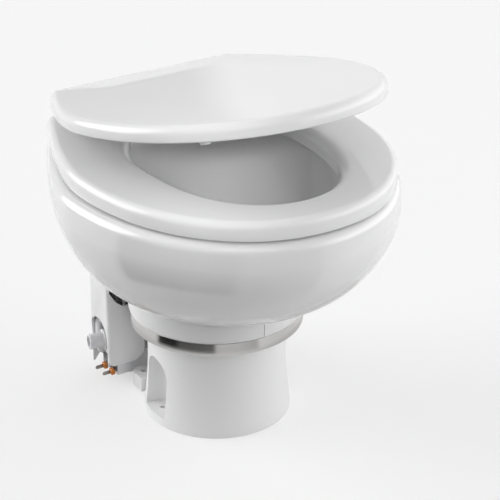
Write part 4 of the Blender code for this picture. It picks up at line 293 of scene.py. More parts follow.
# Finishes
DUST_TONE = (0.6, 0.6, 0.58, 1.0)
WHITE = (1.0, 1.0, 1.0, 1.0)
TONE_DETAIL = 3.0
PATCH_SCALE = 34.0
PATCH_DETAIL = 4.0
TEXTURE_DETAIL = 2.0
LINE_DETAIL = 5.0
DUST_SCALE = 60.0
DUST_DETAIL = 6.0
NOISE_LOW = 0.35
NOISE_HIGH = 0.65
COAT_ROUGHNESS = 0.04
RELIEF_STRENGTH = 0.6

# Camera and studio
CAMERA_AZIMUTH = radians(-32.557)
CAMERA_ELEVATION = radians(26.01)
CAMERA_DISTANCE = 2.084
CAMERA_LENS = 129.456
CAMERA_ASIDE = 0.0395
CAMERA_HEIGHT = 0.2016
FLOOR_REACH = 14.0
BACKGROUND = (0.930, 0.930, 0.930, 1.0)
PAPER_TONE = 0.92
PAPER_ROUGHNESS = 0.9
PAPER_NEAR = 0.27
PAPER_FAR = 0.30
PAPER_BOUNCE_TONE = 0.72
PAPER_GLOW_SHARE = 0.48
# Tones of the floor by direction from the object, where 180 degrees is the front left; only reflections and bounce
# light see them, so they are a painted dark reflection in the glaze and the steel and painted shade on the object's
# front, while the camera sees the floor evenly pale
FLOOR_TURN = QUARTER - CAMERA_AZIMUTH
PAINTED_REFLECTION_TONES = ((107, 0.85), (113, 0.02), (134, 0.02), (139, 0.10), (177, 0.13), (182, 0.62), (204, 0.60), (226, 0.52),
               (232, 0.88))
# Tones of the light round the object, by the same directions; 0 and 360 degrees are behind it
LIGHT_TONES = ((3.3, 0.47), (3.9, 0.30), (48, 0.30), (68, 1.28), (100, 1.28), (140, 0.30), (215, 0.30), (255, 1.25),
               (290, 1.02))
BACK_TONE = 0.47
SIDE_LIGHT = 1.9
SIDE_LIGHT_HEIGHT = 0.30
TOP_LIGHT_HEIGHT = 0.85
TOP_LIGHT = 0.48
FRONT_LIGHT = 0.28
FRONT_EDGE = 0.46
FRONT_FULL = 0.58
SPOT_LIGHT = 41.0
SPOT_DISTANCE = 1.6
SPOT_SOFTNESS = 0.07
SPOT_CONE = radians(9)
SPOT_AIM = (0.0, 0.01, 0.278)
KEY_LIGHT = 0.24
KEY_SPREAD = radians(40)
KEY_TILT = radians(50)
LEFT_LIGHT = 1.30
LOW_SPREAD = radians(60)
LOW_TILT = radians(74)
LEFT_TURN = CAMERA_AZIMUTH - radians(100)
RIGHT_LIGHT = 0.28
RIGHT_TURN = CAMERA_AZIMUTH + radians(95)
FRONT_AZIMUTH = CAMERA_AZIMUTH - radians(20)
FRONT_SQUASH = 1.7


def feed(tree, made, values):
    """Gives a node's inputs their numbers, or links them to another node's outputs."""
    for label, value in values.items():
        if isinstance(value, bpy.types.NodeSocket):
            tree.links.new(value, made.inputs[label])
        else:
            made.inputs[label].default_value = value


def add_node(tree, kind, values=None, **settings):
    """A shader node with its settings and inputs."""
    made = tree.nodes.new("ShaderNode" + kind)
    for label, value in settings.items():
        setattr(made, label, value)
    feed(tree, made, values or {})
    return made


def maths(tree, operation, first, second, clamp=False):
    """One sum or product of two values."""
    return add_node(tree, "Math", {0: first, 1: second}, operation=operation, use_clamp=clamp).outputs["Value"]


def eased(tree, value, low, high):
    """How far a value has come from one level to another, with soft ends."""
    return add_node(tree, "MapRange", {"Value": value, "From Min": low, "From Max": high},
                    interpolation_type="SMOOTHSTEP").outputs["Result"]


def noise(tree, vector, scale, detail):
    """A noise texture on a vector."""
    return add_node(tree, "TexNoise", {"Vector": vector, "Scale": scale, "Detail": detail}).outputs["Fac"]


def spread(tree, value, low, high):
    """The middle of a noise carried onto a range."""
    return add_node(tree, "MapRange", {"Value": value, "From Min": NOISE_LOW, "From Max": NOISE_HIGH,
                                       "To Min": low, "To Max": high}).outputs["Result"]


def blend(tree, share, first, second, kind="RGBA"):
    """One colour or value fading into another."""
    return add_node(tree, "Mix", {"Factor": share, "A": first, "B": second}, data_type=kind).outputs["Result"]


def grey(tone):
    """A neutral colour."""
    return tone, tone, tone, 1.0


def effect(name, inputs, outputs):
    """A shader group with named sockets, whose kinds follow their values; gives it, what enters it and its end."""
    group = bpy.data.node_groups.new(name, "ShaderNodeTree")
    kinds = {1: "NodeSocketFloat", 3: "NodeSocketVector", 4: "NodeSocketColor"}
    for label, value in inputs.items():
        kind = kinds[len(value) if isinstance(value, tuple) else 1]
        group.interface.new_socket(name=label, in_out="INPUT", socket_type=kind).default_value = value
    for label in outputs:
        kind = kinds[4 if label == "Color" else 1]
        group.interface.new_socket(name=label, in_out="OUTPUT", socket_type=kind)
    return group, group.nodes.new("NodeGroupInput").outputs, group.nodes.new("NodeGroupOutput")


def surface(group, given, end, tone, gloss, height):
    """Ends an effect: tone picks the colour, gloss the roughness, and height goes out as it is."""
    feed(group, end, {"Color": blend(group, tone, given["Tone"], given["Second Tone"]),
                      "Roughness": spread(group, gloss, given["Smoothest"], given["Roughest"]), "Height": height})
    return group


def moulded_skin_effect():
    """Slow shifts of tone, patches of gloss and a fine texture, for glaze, enamel, plastic, rubber and paint."""
    group, given, end = effect("moulded_skin", {
        "Tone": grey(0.8), "Second Tone": grey(0.7), "Tone Scale": 12.0, "Texture Scale": 900.0, "Smoothest": 0.1,
        "Roughest": 0.2}, ("Color", "Roughness", "Height"))
    place = add_node(group, "TexCoord").outputs["Object"]
    tone = noise(group, place, given["Tone Scale"], TONE_DETAIL)
    patches = noise(group, place, PATCH_SCALE, PATCH_DETAIL)
    return surface(group, given, end, tone, patches, noise(group, place, given["Texture Scale"], TEXTURE_DETAIL))


def brushed_lines_effect():
    """Fine lines drawn out along a piece, for steel and brass."""
    group, given, end = effect("brushed_lines", {
        "Tone": grey(0.6), "Second Tone": grey(0.5), "Stretch": (6.0, 6.0, 900.0), "Smoothest": 0.15,
        "Roughest": 0.3}, ("Color", "Roughness", "Height"))
    place = add_node(group, "TexCoord").outputs["Object"]
    drawn = add_node(group, "VectorMath", {0: place, 1: given["Stretch"]}, operation="MULTIPLY").outputs["Vector"]
    lines = noise(group, drawn, 1.0, LINE_DETAIL)
    return surface(group, given, end, lines, lines, lines)


def settled_dust_effect():
    """A thin film on surfaces that face up, broken into soft patches."""
    group, given, end = effect("settled_dust", {"Color": grey(0.8), "Film": DUST_TONE, "Amount": 0.1}, ("Color",))
    normal = add_node(group, "NewGeometry").outputs["Normal"]
    up = add_node(group, "SeparateXYZ", {"Vector": normal}).outputs["Z"]
    place = add_node(group, "TexCoord").outputs["Object"]
    film = maths(group, "MULTIPLY", noise(group, place, DUST_SCALE, DUST_DETAIL),
                 maths(group, "MULTIPLY", up, given["Amount"], clamp=True), clamp=True)
    feed(group, end, {"Color": blend(group, film, given["Color"], given["Film"])})
    return group


def finish(name, group, settings, relief, metallic=0.0, coat=0.0, dust=None):
    """A material from one of the effects; the settings go to the effect's own sockets."""
    material = bpy.data.materials.new(name)
    material.use_nodes = True
    tree = material.node_tree
    made = add_node(tree, "Group", settings, node_tree=group).outputs
    colour = made["Color"]
    if dust:
        colour = add_node(tree, "Group", {"Amount": dust, "Color": colour}, node_tree=dust_film).outputs["Color"]
    bump = add_node(tree, "Bump", {"Strength": RELIEF_STRENGTH, "Distance": relief, "Height": made["Height"]})
    feed(tree, tree.nodes["Principled BSDF"], {
        "Metallic": metallic, "Coat Weight": coat, "Coat Roughness": COAT_ROUGHNESS, "Base Color": colour,
        "Roughness": made["Roughness"], "Normal": bump.outputs["Normal"]})
    return material


moulded_skin = moulded_skin_effect()
brushed_lines = brushed_lines_effect()
dust_film = settled_dust_effect()


def skin_finish(name, tone, second, tone_scale, texture_scale, smoothest, roughest, relief, coat=0.0, dust=None):
    """A glazed, enamelled, moulded or painted finish."""
    settings = {"Tone": (*tone, 1.0), "Second Tone": (*second, 1.0), "Tone Scale": tone_scale,
                "Texture Scale": texture_scale, "Smoothest": smoothest, "Roughest": roughest}
    return finish(name, moulded_skin, settings, relief, coat=coat, dust=dust)


def drawn_finish(name, tone, second, stretch, smoothest, roughest, relief):
    """A brushed or drawn metal finish."""
    settings = {"Tone": (*tone, 1.0), "Second Tone": (*second, 1.0), "Stretch": stretch, "Smoothest": smoothest,
                "Roughest": roughest}
    return finish(name, brushed_lines, settings, relief, metallic=1.0)


finishes = {
    "glazed_ceramic": skin_finish("glaze_on_bowl", (0.86, 0.86, 0.86), (0.83, 0.83, 0.835), 7.0, 46.0, 0.02, 0.04,
                                  0.00004, coat=1.0),
    "seat_white": skin_finish("seat_enamel", (0.85, 0.85, 0.85), (0.82, 0.82, 0.825), 6.0, 220.0, 0.02, 0.04,
                              0.00001, coat=0.3),
    "pedestal_white": skin_finish("pedestal_moulding", (0.83, 0.83, 0.83), (0.80, 0.80, 0.805), 9.0, 1400.0,
                                  0.34, 0.44, 0.00003, dust=0.10),
    "stainless_steel": drawn_finish("band_steel", (0.78, 0.77, 0.76), (0.64, 0.63, 0.62), (5.0, 5.0, 1400.0),
                                    0.10, 0.18, 0.00001),
    "black_rubber": skin_finish("hose_rubber", (0.022, 0.022, 0.023), (0.040, 0.040, 0.042), 30.0, 1600.0,
                                0.62, 0.78, 0.00004, dust=0.10),
    "bumper_white": skin_finish("bumper_rubber", (0.76, 0.76, 0.75), (0.70, 0.70, 0.69), 40.0, 1500.0, 0.50, 0.64,
                                0.00003),
    "black_plastic": skin_finish("valve_black", (0.045, 0.045, 0.048), (0.075, 0.075, 0.080), 24.0, 1500.0,
                                 0.16, 0.28, 0.00002, coat=0.6),
    "grey_plastic": skin_finish("nut_grey", (0.34, 0.35, 0.36), (0.29, 0.30, 0.31), 26.0, 1500.0, 0.38, 0.50,
                                0.00003, dust=0.10),
    "pipe_white": skin_finish("pipe_moulding", (0.80, 0.80, 0.81), (0.75, 0.75, 0.77), 20.0, 1200.0, 0.28, 0.40,
                              0.00002),
    "orange_plastic": skin_finish("terminal_orange", (0.72, 0.24, 0.03), (0.52, 0.15, 0.02), 160.0, 1500.0,
                                  0.24, 0.36, 0.00002, coat=0.2),
    "tinned_brass": drawn_finish("terminal_tin", (0.46, 0.44, 0.41), (0.30, 0.28, 0.26), (60.0, 900.0, 900.0),
                                 0.22, 0.36, 0.00001),
    "motor_paint": skin_finish("motor_paint_grey", (0.085, 0.085, 0.090), (0.115, 0.115, 0.120), 18.0, 700.0,
                               0.30, 0.46, 0.00004, dust=0.10),
}

for row in frame["record"]["subparts"]:
    node = frame["nodes"][row["node"]]
    node.data.materials.clear()
    node.data.materials.append(finishes[row["material_slot"]])


def skin(rings, wrap=False):
    """One closed surface through a list of rings; a ring of one point is a pole."""
    mesh = bmesh.new()
    rows = [[mesh.verts.new(point) for point in ring] for ring in rings]
    pairs = list(zip(rows, rows[1:]))
    if wrap:
        pairs.append((rows[-1], rows[0]))
    for lower, upper in pairs:
        count = max(len(lower), len(upper))
        for index in range(count):
            after = (index + 1) % count
            if len(lower) == 1:
                mesh.faces.new((lower[0], upper[after], upper[index]))
            elif len(upper) == 1:
                mesh.faces.new((lower[index], lower[after], upper[0]))
            else:
                mesh.faces.new((lower[index], lower[after], upper[after], upper[index]))
    if not wrap:
        for row in (rows[0], rows[-1]):
            if len(row) > 1:
                mesh.faces.new(row)
    bmesh.ops.recalc_face_normals(mesh, faces=mesh.faces)
    return mesh


def shape(name, mesh):
    """An object from mesh code."""
    data = bpy.data.meshes.new(name)
    mesh.to_mesh(data)
    mesh.free()
    thing = bpy.data.objects.new(name, data)
    bpy.context.scene.collection.objects.link(thing)
    return thing


def settle(thing):
    """Turns a piece's modifiers into its mesh."""
    bpy.context.view_layer.update()
    evaluated = thing.evaluated_get(bpy.context.evaluated_depsgraph_get())
    data = bpy.data.meshes.new_from_object(evaluated)
    thing.modifiers.clear()
    thing.data = data


def carve(thing, other, operation="DIFFERENCE"):
    """Cuts another shape from a piece, or joins it on, and removes the other shape."""
    modifier = thing.modifiers.new(other.name, "BOOLEAN")
    modifier.operation = operation
    modifier.object = other
    settle(thing)
    bpy.data.objects.remove(other)


def soften(thing, width, angle=SOFT_EDGE_ANGLE, segments=2):
    """Small rounded edges."""
    modifier = thing.modifiers.new("edges", "BEVEL")
    modifier.width = width
    modifier.segments = segments
    modifier.limit_method = "ANGLE"
    modifier.angle_limit = angle
    modifier.use_clamp_overlap = True
    settle(thing)


def dress(thing, slot, body, *nodes, crease=CREASE):
    """Gives a piece its finish, smooth shading and its body, and hides the CAD nodes that it stands for."""
    data = thing.data
    data.materials.clear()
    data.materials.append(finishes[slot])
    for face in data.polygons:
        face.use_smooth = True
        face.material_index = 0
    data.set_sharp_from_angle(angle=crease)
    if nodes:
        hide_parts(*nodes)
    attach(thing, body)


def slot_of(node):
    """The finish that the record gives a node."""
    return next(row["material_slot"] for row in frame["record"]["subparts"] if row["node"] == node)


def softened(node, body, width):
    """A CAD node's own form with its edges rounded."""
    thing = bpy.data.objects.new(node + "_rounded", frame["nodes"][node].data.copy())
    bpy.context.scene.collection.objects.link(thing)
    mesh = bmesh.new()
    mesh.from_mesh(thing.data)
    bmesh.ops.remove_doubles(mesh, verts=mesh.verts, dist=WELD)
    bmesh.ops.dissolve_limit(mesh, angle_limit=FLAT_ANGLE, verts=mesh.verts, edges=mesh.edges)
    mesh.to_mesh(thing.data)
    mesh.free()
    soften(thing, width)
    dress(thing, slot_of(node), body, node)


def circle(radius, height, steps, centre):
    """A level ring of points."""
    return [(centre[0] + radius * cos(TURN * step / steps), centre[1] + radius * sin(TURN * step / steps),
             height) for step in range(steps)]


def lathe_rings(profile, steps, centre):
    """Level rings from (radius, height) pairs, with a single point where the radius is nothing."""
    return [circle(radius, height, steps, centre) if radius else [(*centre, height)] for radius, height in profile]


def turned(profile, steps, centre=(0.0, 0.0)):
    """A lathe shape round a vertical axis, from (radius, height) pairs."""
    return skin(lathe_rings(profile, steps, centre))


def turned_part(profile, steps, first, last):
    """Part of a lathe shape, from one angle to another, with flat ends."""
    rings = []
    for step in range(steps + 1):
        angle = first + (last - first) * step / steps
        rings.append([(radius * cos(angle), radius * sin(angle), height) for radius, height in profile])
    return skin(rings)


def rounded_profile(points, radius, steps=4):
    """A closed (radius, height) outline with its corners rounded."""
    rounded = []
    count = len(points)
    for index in range(count):
        before, corner, after = (Vector(points[(index + shift) % count]) for shift in (-1, 0, 1))
        back, ahead = before - corner, after - corner
        reach = min(radius, CORNER_REACH_SHARE * back.length, CORNER_REACH_SHARE * ahead.length)
        first, last = corner + back.normalized() * reach, corner + ahead.normalized() * reach
        for step in range(steps + 1):
            share = step / steps
            rounded.append(tuple((1 - share) ** 2 * first + 2 * share * (1 - share) * corner + share ** 2 * last))
    return rounded


def sweep_rings(path, radii, steps):
    """Rings square to a path, carried along it without twist; one radius, or a list with one for each point."""
    points = [Vector(point) for point in path]
    if not isinstance(radii, list):
        radii = [radii] * len(points)
    rings = []
    side = None
    for index, point in enumerate(points):
        before = points[max(index - 1, 0)]
        after = points[min(index + 1, len(points) - 1)]
        ahead = ((point - before).normalized() + (after - point).normalized()).normalized()
        if side is None:
            side = ahead.orthogonal().normalized()
        side = (side - ahead * side.dot(ahead)).normalized()
        other = ahead.cross(side)
        rings.append([point + radii[index] * (cos(TURN * step / steps) * side
                                              + sin(TURN * step / steps) * other) for step in range(steps)])
    return rings


def pipe(path, outer, inner, steps):
    """A hollow tube along a path, with open ends."""
    return skin(sweep_rings(path, outer, steps) + sweep_rings(path, inner, steps)[::-1], wrap=True)


def rod(start, end, radius, steps):
    """A solid round bar between two points."""
    return skin(sweep_rings([start, end], radius, steps))


def block(low, high):
    """A box between two corners."""
    return skin([[(low[0], low[1], height), (high[0], low[1], height), (high[0], high[1], height),
                  (low[0], high[1], height)] for height in (low[2], high[2])])


def drill(thing, start, end, radius, steps=SMALL_STEPS):
    """Cuts a round hole between two points."""
    carve(thing, shape("drill", rod(start, end, radius, steps)))


def filleted(corners, radius, steps):
    """A path through corners, with each inner corner rounded to an arc."""
    corners = [Vector(corner) for corner in corners]
    path = [corners[0]]
    for before, corner, after in zip(corners, corners[1:], corners[2:]):
        back = (before - corner).normalized()
        ahead = (after - corner).normalized()
        half = back.angle(ahead) / 2
        centre = corner + (back + ahead).normalized() * (radius / sin(half))
        first = corner + back * (radius / tan(half)) - centre
        last = corner + ahead * (radius / tan(half)) - centre
        swing = first.angle(last)
        axis = first.cross(last).normalized()
        path += [centre + Matrix.Rotation(swing * step / steps, 3, axis) @ first for step in range(steps + 1)]
    path.append(corners[-1])
    return path


def smooth(points, steps):
    """A smooth curve through given points."""
    points = [Vector(point) for point in points]
    padded = [2 * points[0] - points[1]] + points + [2 * points[-1] - points[-2]]
    path = []
    for a, b, c, d in zip(padded, padded[1:], padded[2:], padded[3:]):
        for step in range(steps):
            t = step / steps
            path.append(0.5 * (2 * b + (c - a) * t + (2 * a - 5 * b + 4 * c - d) * t ** 2
                               + (3 * b - a - 3 * c + d) * t ** 3))
    path.append(points[-1])
    return path


def egg(half_width, front_y, back_y, back_half, corner, height, widest_y=WIDEST_Y, power=BOWL_FRONT_POWER):
    """A level outline: elliptical front, sides that draw in, and a straight back with round corners."""
    core_half = half_width - corner
    core_front = widest_y - front_y - corner
    core_back = back_y - widest_y - corner
    core_back_half = back_half - corner
    draw_in = core_half - core_back_half
    steepest = atan2(SIDE_POWER * draw_in, core_back)
    half = []
    for step in range(FRONT_STEPS + 1):
        angle = -QUARTER + QUARTER * step / FRONT_STEPS
        across = (core_half * abs(cos(angle))) ** (1 / (power - 1))
        along = (core_front * abs(sin(angle))) ** (1 / (power - 1))
        reach = (across ** power + along ** power) ** (1 / power)
        half.append((core_half * across / reach + corner * cos(angle),
                     widest_y - core_front * along / reach + corner * sin(angle)))
    for step in range(1, SIDE_STEPS + 1):
        angle = steepest * step / SIDE_STEPS
        share = (tan(angle) / tan(steepest)) ** (1 / (SIDE_POWER - 1))
        half.append((core_half - draw_in * share ** SIDE_POWER + corner * cos(angle),
                     widest_y + core_back * share + corner * sin(angle)))
    for step in range(1, CORNER_STEPS + 1):
        angle = steepest + (QUARTER - steepest) * step / CORNER_STEPS
        half.append((core_back_half + corner * cos(angle), widest_y + core_back + corner * sin(angle)))
    half[0] = (0.0, half[0][1])
    right = [(x, y, height) for x, y in half]
    left = [(-x, y, height) for x, y in reversed(half[1:])]
    return right + left


def round_ring(radius, height):
    """A circle with the egg outline's points, round the pedestal's axis."""
    corner = radius - CORE
    return egg(radius, -radius, radius, corner + BACK_CORE_SHARE * CORE, corner, height, widest_y=0.0)


def superellipse(share, power):
    """How far out a belly has swung at a share of its height."""
    return (1 - (1 - share) ** power) ** (1 / power)


def outline(width, front_y, back_y, back_width, corner, **bend):
    """A piece's outline, as a function of how far a ring is drawn in and its height."""
    def ring(inset, height):
        return egg(width / 2 - inset, front_y + inset, back_y - inset, back_width / 2 - inset, corner - inset,
                   height, **bend)
    return ring


def rounding(ring, width, level, height, steps, from_face=False):
    """Rings round a quarter of an edge, from the outline to the face or the other way."""
    rings = []
    for step in range(steps):
        angle = QUARTER * step / ROUNDING_STEPS
        aside, along = 1 - cos(angle), 1 - sin(angle)
        if from_face:
            aside, along = along, aside
        rings.append(ring(width * aside, level - height * along))
    return rings


def swelling(foot, width, front_y, back_y, back_width, corner, widest_y, swings, height):
    """A ring on the way from a round foot to an outline; the swings are for its sides, front, back and corners."""
    side, front, back, squared = swings
    half_width = foot + (width / 2 - foot) * side
    rounded = foot - CORE + (corner - foot + CORE) * squared
    back_half = half_width * (1 + (back_width / width - 1) * squared)
    core_back_half = max(back_half - rounded, BACK_CORE_SHARE * CORE)
    return egg(half_width, -foot + (front_y + foot) * front, foot + (back_y - foot) * back,
               rounded + min(core_back_half, half_width - rounded - CORE / 2), rounded, height,
               widest_y=widest_y * squared)


def belly_ring(share):
    """The bowl's outline at a share of the belly's height."""
    swings = [superellipse(share, power)
              for power in (BELLY_SIDE_POWER, BELLY_FRONT_POWER, BELLY_BACK_POWER, BELLY_CORNER_POWER)]
    return swelling(BELLY_FOOT_RADIUS, BOWL_WIDTH, BOWL_FRONT_Y, BOWL_BACK_Y, BOWL_BACK_WIDTH, BOWL_CORNER,
                    WIDEST_Y, swings, BELLY_BOTTOM + BELLY_HEIGHT * share)


def basin_ring(share):
    """The inner surface's outline at a share of the basin's depth."""
    top = RIM_TOP - BASIN_EDGE_ROUND
    return swelling(OUTLET_RADIUS, BASIN_WIDTH, BASIN_FRONT_Y, BASIN_BACK_Y, BASIN_BACK_WIDTH, BASIN_CORNER,
                    BASIN_WIDEST_Y, [superellipse(share, BASIN_POWER)] * 4,
                    BASIN_BOTTOM + (top - BASIN_BOTTOM) * share)


def glazed_bowl():
    """The ceramic casting, outside and in, with the recess under its rear deck."""
    rings = [round_ring(radius, height) for radius, height in (
        (SPIGOT_RADIUS, SPIGOT_BOTTOM), (SPIGOT_RADIUS, FOOT_BOTTOM), (FOOT_RADIUS, FOOT_BOTTOM),
        (FOOT_RADIUS, FOOT_TOP), (NECK_RADIUS, FOOT_TOP), (NECK_RADIUS, NECK_TOP))]
    for step in range(1, NECK_STEPS):
        angle = QUARTER * step / NECK_STEPS
        rings.append(round_ring(NECK_RADIUS + (BELLY_FOOT_RADIUS - NECK_RADIUS) * (1 - cos(angle)),
                                NECK_TOP + (BELLY_BOTTOM - NECK_TOP) * sin(angle)))
    for step in range(BELLY_STEPS + 1):
        share = 1 - cos(QUARTER * step / BELLY_STEPS) ** (2 / BELLY_SIDE_POWER)
        rings.append(belly_ring(share) if step else round_ring(BELLY_FOOT_RADIUS, BELLY_BOTTOM))
    rim = outline(BOWL_WIDTH, BOWL_FRONT_Y, BOWL_BACK_Y, BOWL_BACK_WIDTH, BOWL_CORNER)
    basin_edge = outline(BASIN_WIDTH, BASIN_FRONT_Y, BASIN_BACK_Y, BASIN_BACK_WIDTH, BASIN_CORNER,
                         widest_y=BASIN_WIDEST_Y)
    rings += rounding(rim, RIM_ROUND, RIM_TOP, RIM_ROUND, ROUNDING_STEPS + 1)
    rings += rounding(basin_edge, -BASIN_EDGE_ROUND, RIM_TOP, BASIN_EDGE_ROUND, ROUNDING_STEPS, from_face=True)
    for step in range(BASIN_STEPS):
        rings.append(basin_ring(1 - cos(QUARTER * (BASIN_STEPS - step) / BASIN_STEPS) ** (2 / BASIN_POWER)))
    rings += [round_ring(OUTLET_RADIUS, BASIN_BOTTOM), round_ring(OUTLET_RADIUS, SPIGOT_BOTTOM)]
    bowl = shape("bowl_glazed", skin(rings, wrap=True))
    recess = shape("recess", block((-RECESS_WIDTH / 2, RECESS_FRONT_Y, RECESS_BOTTOM),
                                   (RECESS_WIDTH / 2, BOWL_BACK_Y + OVERRUN, DECK_BOTTOM)))
    soften(recess, OVERRUN / 2, segments=4)
    carve(bowl, recess)
    dress(bowl, "glazed_ceramic", "base", "bowl")


def hinge_arm(name, centre_x, root_y, low, high):
    """An arm from a seat or lid back to its knuckle round the pin."""
    profile = [(root_y, low), (root_y, high)]
    for step in range(SMALL_STEPS + 1):
        angle = QUARTER - pi * step / SMALL_STEPS
        profile.append((HINGE_Y + KNUCKLE_RADIUS * cos(angle), HINGE_Z + KNUCKLE_RADIUS * sin(angle)))
    arm = shape(name, skin([[(centre_x + side * KNUCKLE_WIDTH / 2, y, z) for y, z in profile] for side in (-1, 1)]))
    soften(arm, ARM_EDGE, segments=3)
    return arm


def raise_lid(thing):
    """Turns a piece that is built closed up to the lid's resting angle."""
    hinge = Matrix.Translation((0, HINGE_Y, HINGE_Z))
    thing.data.transform(hinge @ Matrix.Rotation(-LID_REST_ANGLE, 4, "X") @ hinge.inverted())


def seat_and_lid():
    """The seat with its rolled opening, the crowned lid, and their hinge arms."""
    outside = outline(SEAT_WIDTH, SEAT_FRONT_Y, SEAT_BACK_Y, SEAT_BACK_WIDTH, SEAT_CORNER, power=FRONT_POWER)
    hole = outline(SEAT_HOLE_WIDTH, SEAT_HOLE_FRONT_Y, SEAT_HOLE_BACK_Y, SEAT_HOLE_BACK_WIDTH, SEAT_HOLE_CORNER,
                   widest_y=BASIN_WIDEST_Y)
    lip = SEAT_EDGE_ROUND * LIP_SHARE
    rings = rounding(outside, lip, SEAT_BOTTOM, -lip, ROUNDING_STEPS, from_face=True)
    rings += rounding(outside, SEAT_EDGE_ROUND, SEAT_TOP, SEAT_EDGE_ROUND, ROUNDING_STEPS + 1)
    rings += rounding(hole, -SEAT_HOLE_BEVEL, SEAT_TOP, SEAT_HOLE_BEVEL_DROP, ROUNDING_STEPS + 1, from_face=True)
    rings += rounding(hole, -lip, SEAT_BOTTOM, -lip, ROUNDING_STEPS + 1)
    dress(shape("seat_enamelled", skin(rings, wrap=True)), "seat_white", "seat_body", "seat")

    outside = outline(LID_WIDTH, LID_FRONT_Y, LID_BACK_Y, LID_BACK_WIDTH, LID_CORNER, power=FRONT_POWER)
    lip = LID_EDGE_ROUND * LIP_SHARE
    top = LID_BOTTOM + LID_THICKNESS
    rings = rounding(outside, lip, LID_BOTTOM, -lip, ROUNDING_STEPS, from_face=True)
    rings += rounding(outside, LID_EDGE_ROUND, top, LID_EDGE_ROUND, ROUNDING_STEPS + 1)
    edge = [point[:2] for point in rings[-1]]
    for step in range(1, LID_CROWN_STEPS + 1):
        share = step / LID_CROWN_STEPS
        scale = 1 - (1 - LID_CROWN_SHARE) * share
        rings.append([(x * scale, y * scale, top + LID_CROWN * sin(QUARTER * share)) for x, y in edge])
    lid = shape("lid_enamelled", skin(rings))
    raise_lid(lid)
    dress(lid, "seat_white", "lid_body", "lid")

    half = HINGE_SPACING / 2
    seat_place = half - POST_RADIUS - KNUCKLE_SIDE_GAP - KNUCKLE_WIDTH / 2
    lid_place = half + POST_RADIUS + KNUCKLE_SIDE_GAP + KNUCKLE_WIDTH / 2
    for label, side in (("left", -1), ("right", 1)):
        arm = hinge_arm("seat_arm_" + label, side * seat_place, SEAT_BACK_Y - ARM_ROOT, SEAT_TOP - ARM_THICKNESS,
                        SEAT_TOP - SEAT_EDGE_ROUND * LIP_SHARE)
        dress(arm, "seat_white", "seat_body")
        arm = hinge_arm("lid_arm_" + label, side * lid_place, LID_BACK_Y - ARM_ROOT, LID_BOTTOM + lip,
                        LID_BOTTOM + ARM_THICKNESS)
        raise_lid(arm)
        dress(arm, "seat_white", "lid_body")


def arch_hull(radius, back_x, low, top, side):
    """A niche's space: a round back with a domed top, run straight out to the side."""
    mesh = bmesh.new()
    outer_x = PEDESTAL_FOOT_RADIUS + OVERRUN
    spring = top - radius
    middle_x = back_x + radius
    for step in range(2 * NICHE_STEPS + 1):
        turn = QUARTER + pi * step / (2 * NICHE_STEPS)
        for rise in range(NICHE_STEPS + 1):
            lift = QUARTER * rise / NICHE_STEPS
            reach = radius * cos(lift)
            mesh.verts.new((side * (middle_x + reach * cos(turn)), NICHE_Y + reach * sin(turn),
                            spring + radius * sin(lift)))
        mesh.verts.new((side * (middle_x + radius * cos(turn)), NICHE_Y + radius * sin(turn), low))
    for step in range(2 * NICHE_STEPS + 1):
        lift = pi * step / (2 * NICHE_STEPS)
        mesh.verts.new((side * outer_x, NICHE_Y + radius * cos(lift), spring + radius * sin(lift)))
    for y in (NICHE_Y - radius, NICHE_Y + radius):
        mesh.verts.new((side * outer_x, y, low))
    bmesh.ops.remove_doubles(mesh, verts=mesh.verts, dist=HULL_WELD)
    result = bmesh.ops.convex_hull(mesh, input=mesh.verts)
    spare = result["geom_interior"] + result["geom_unused"]
    unused = [item for item in spare if isinstance(item, bmesh.types.BMVert)]
    bmesh.ops.delete(mesh, geom=unused, context="VERTS")
    bmesh.ops.recalc_face_normals(mesh, faces=mesh.faces)
    return mesh


def lug_shape(centre_x):
    """A tab from inside the column's wall to a half-round end."""
    points = [(centre_x - LUG_RADIUS, LUG_Y - COLUMN_WALL - LUG_RADIUS),
              (centre_x + LUG_RADIUS, LUG_Y - COLUMN_WALL - LUG_RADIUS)]
    for step in range(SMALL_STEPS + 1):
        angle = pi * step / SMALL_STEPS
        points.append((centre_x + LUG_RADIUS * cos(angle), LUG_Y + LUG_RADIUS * sin(angle)))
    lug = shape("lug", skin([[(x, y, height) for x, y in points] for height in (0.0, LUG_THICKNESS)]))
    soften(lug, FOOT_EDGE_HEIGHT / 4, angle=LUG_EDGE_ANGLE, segments=3)
    return lug


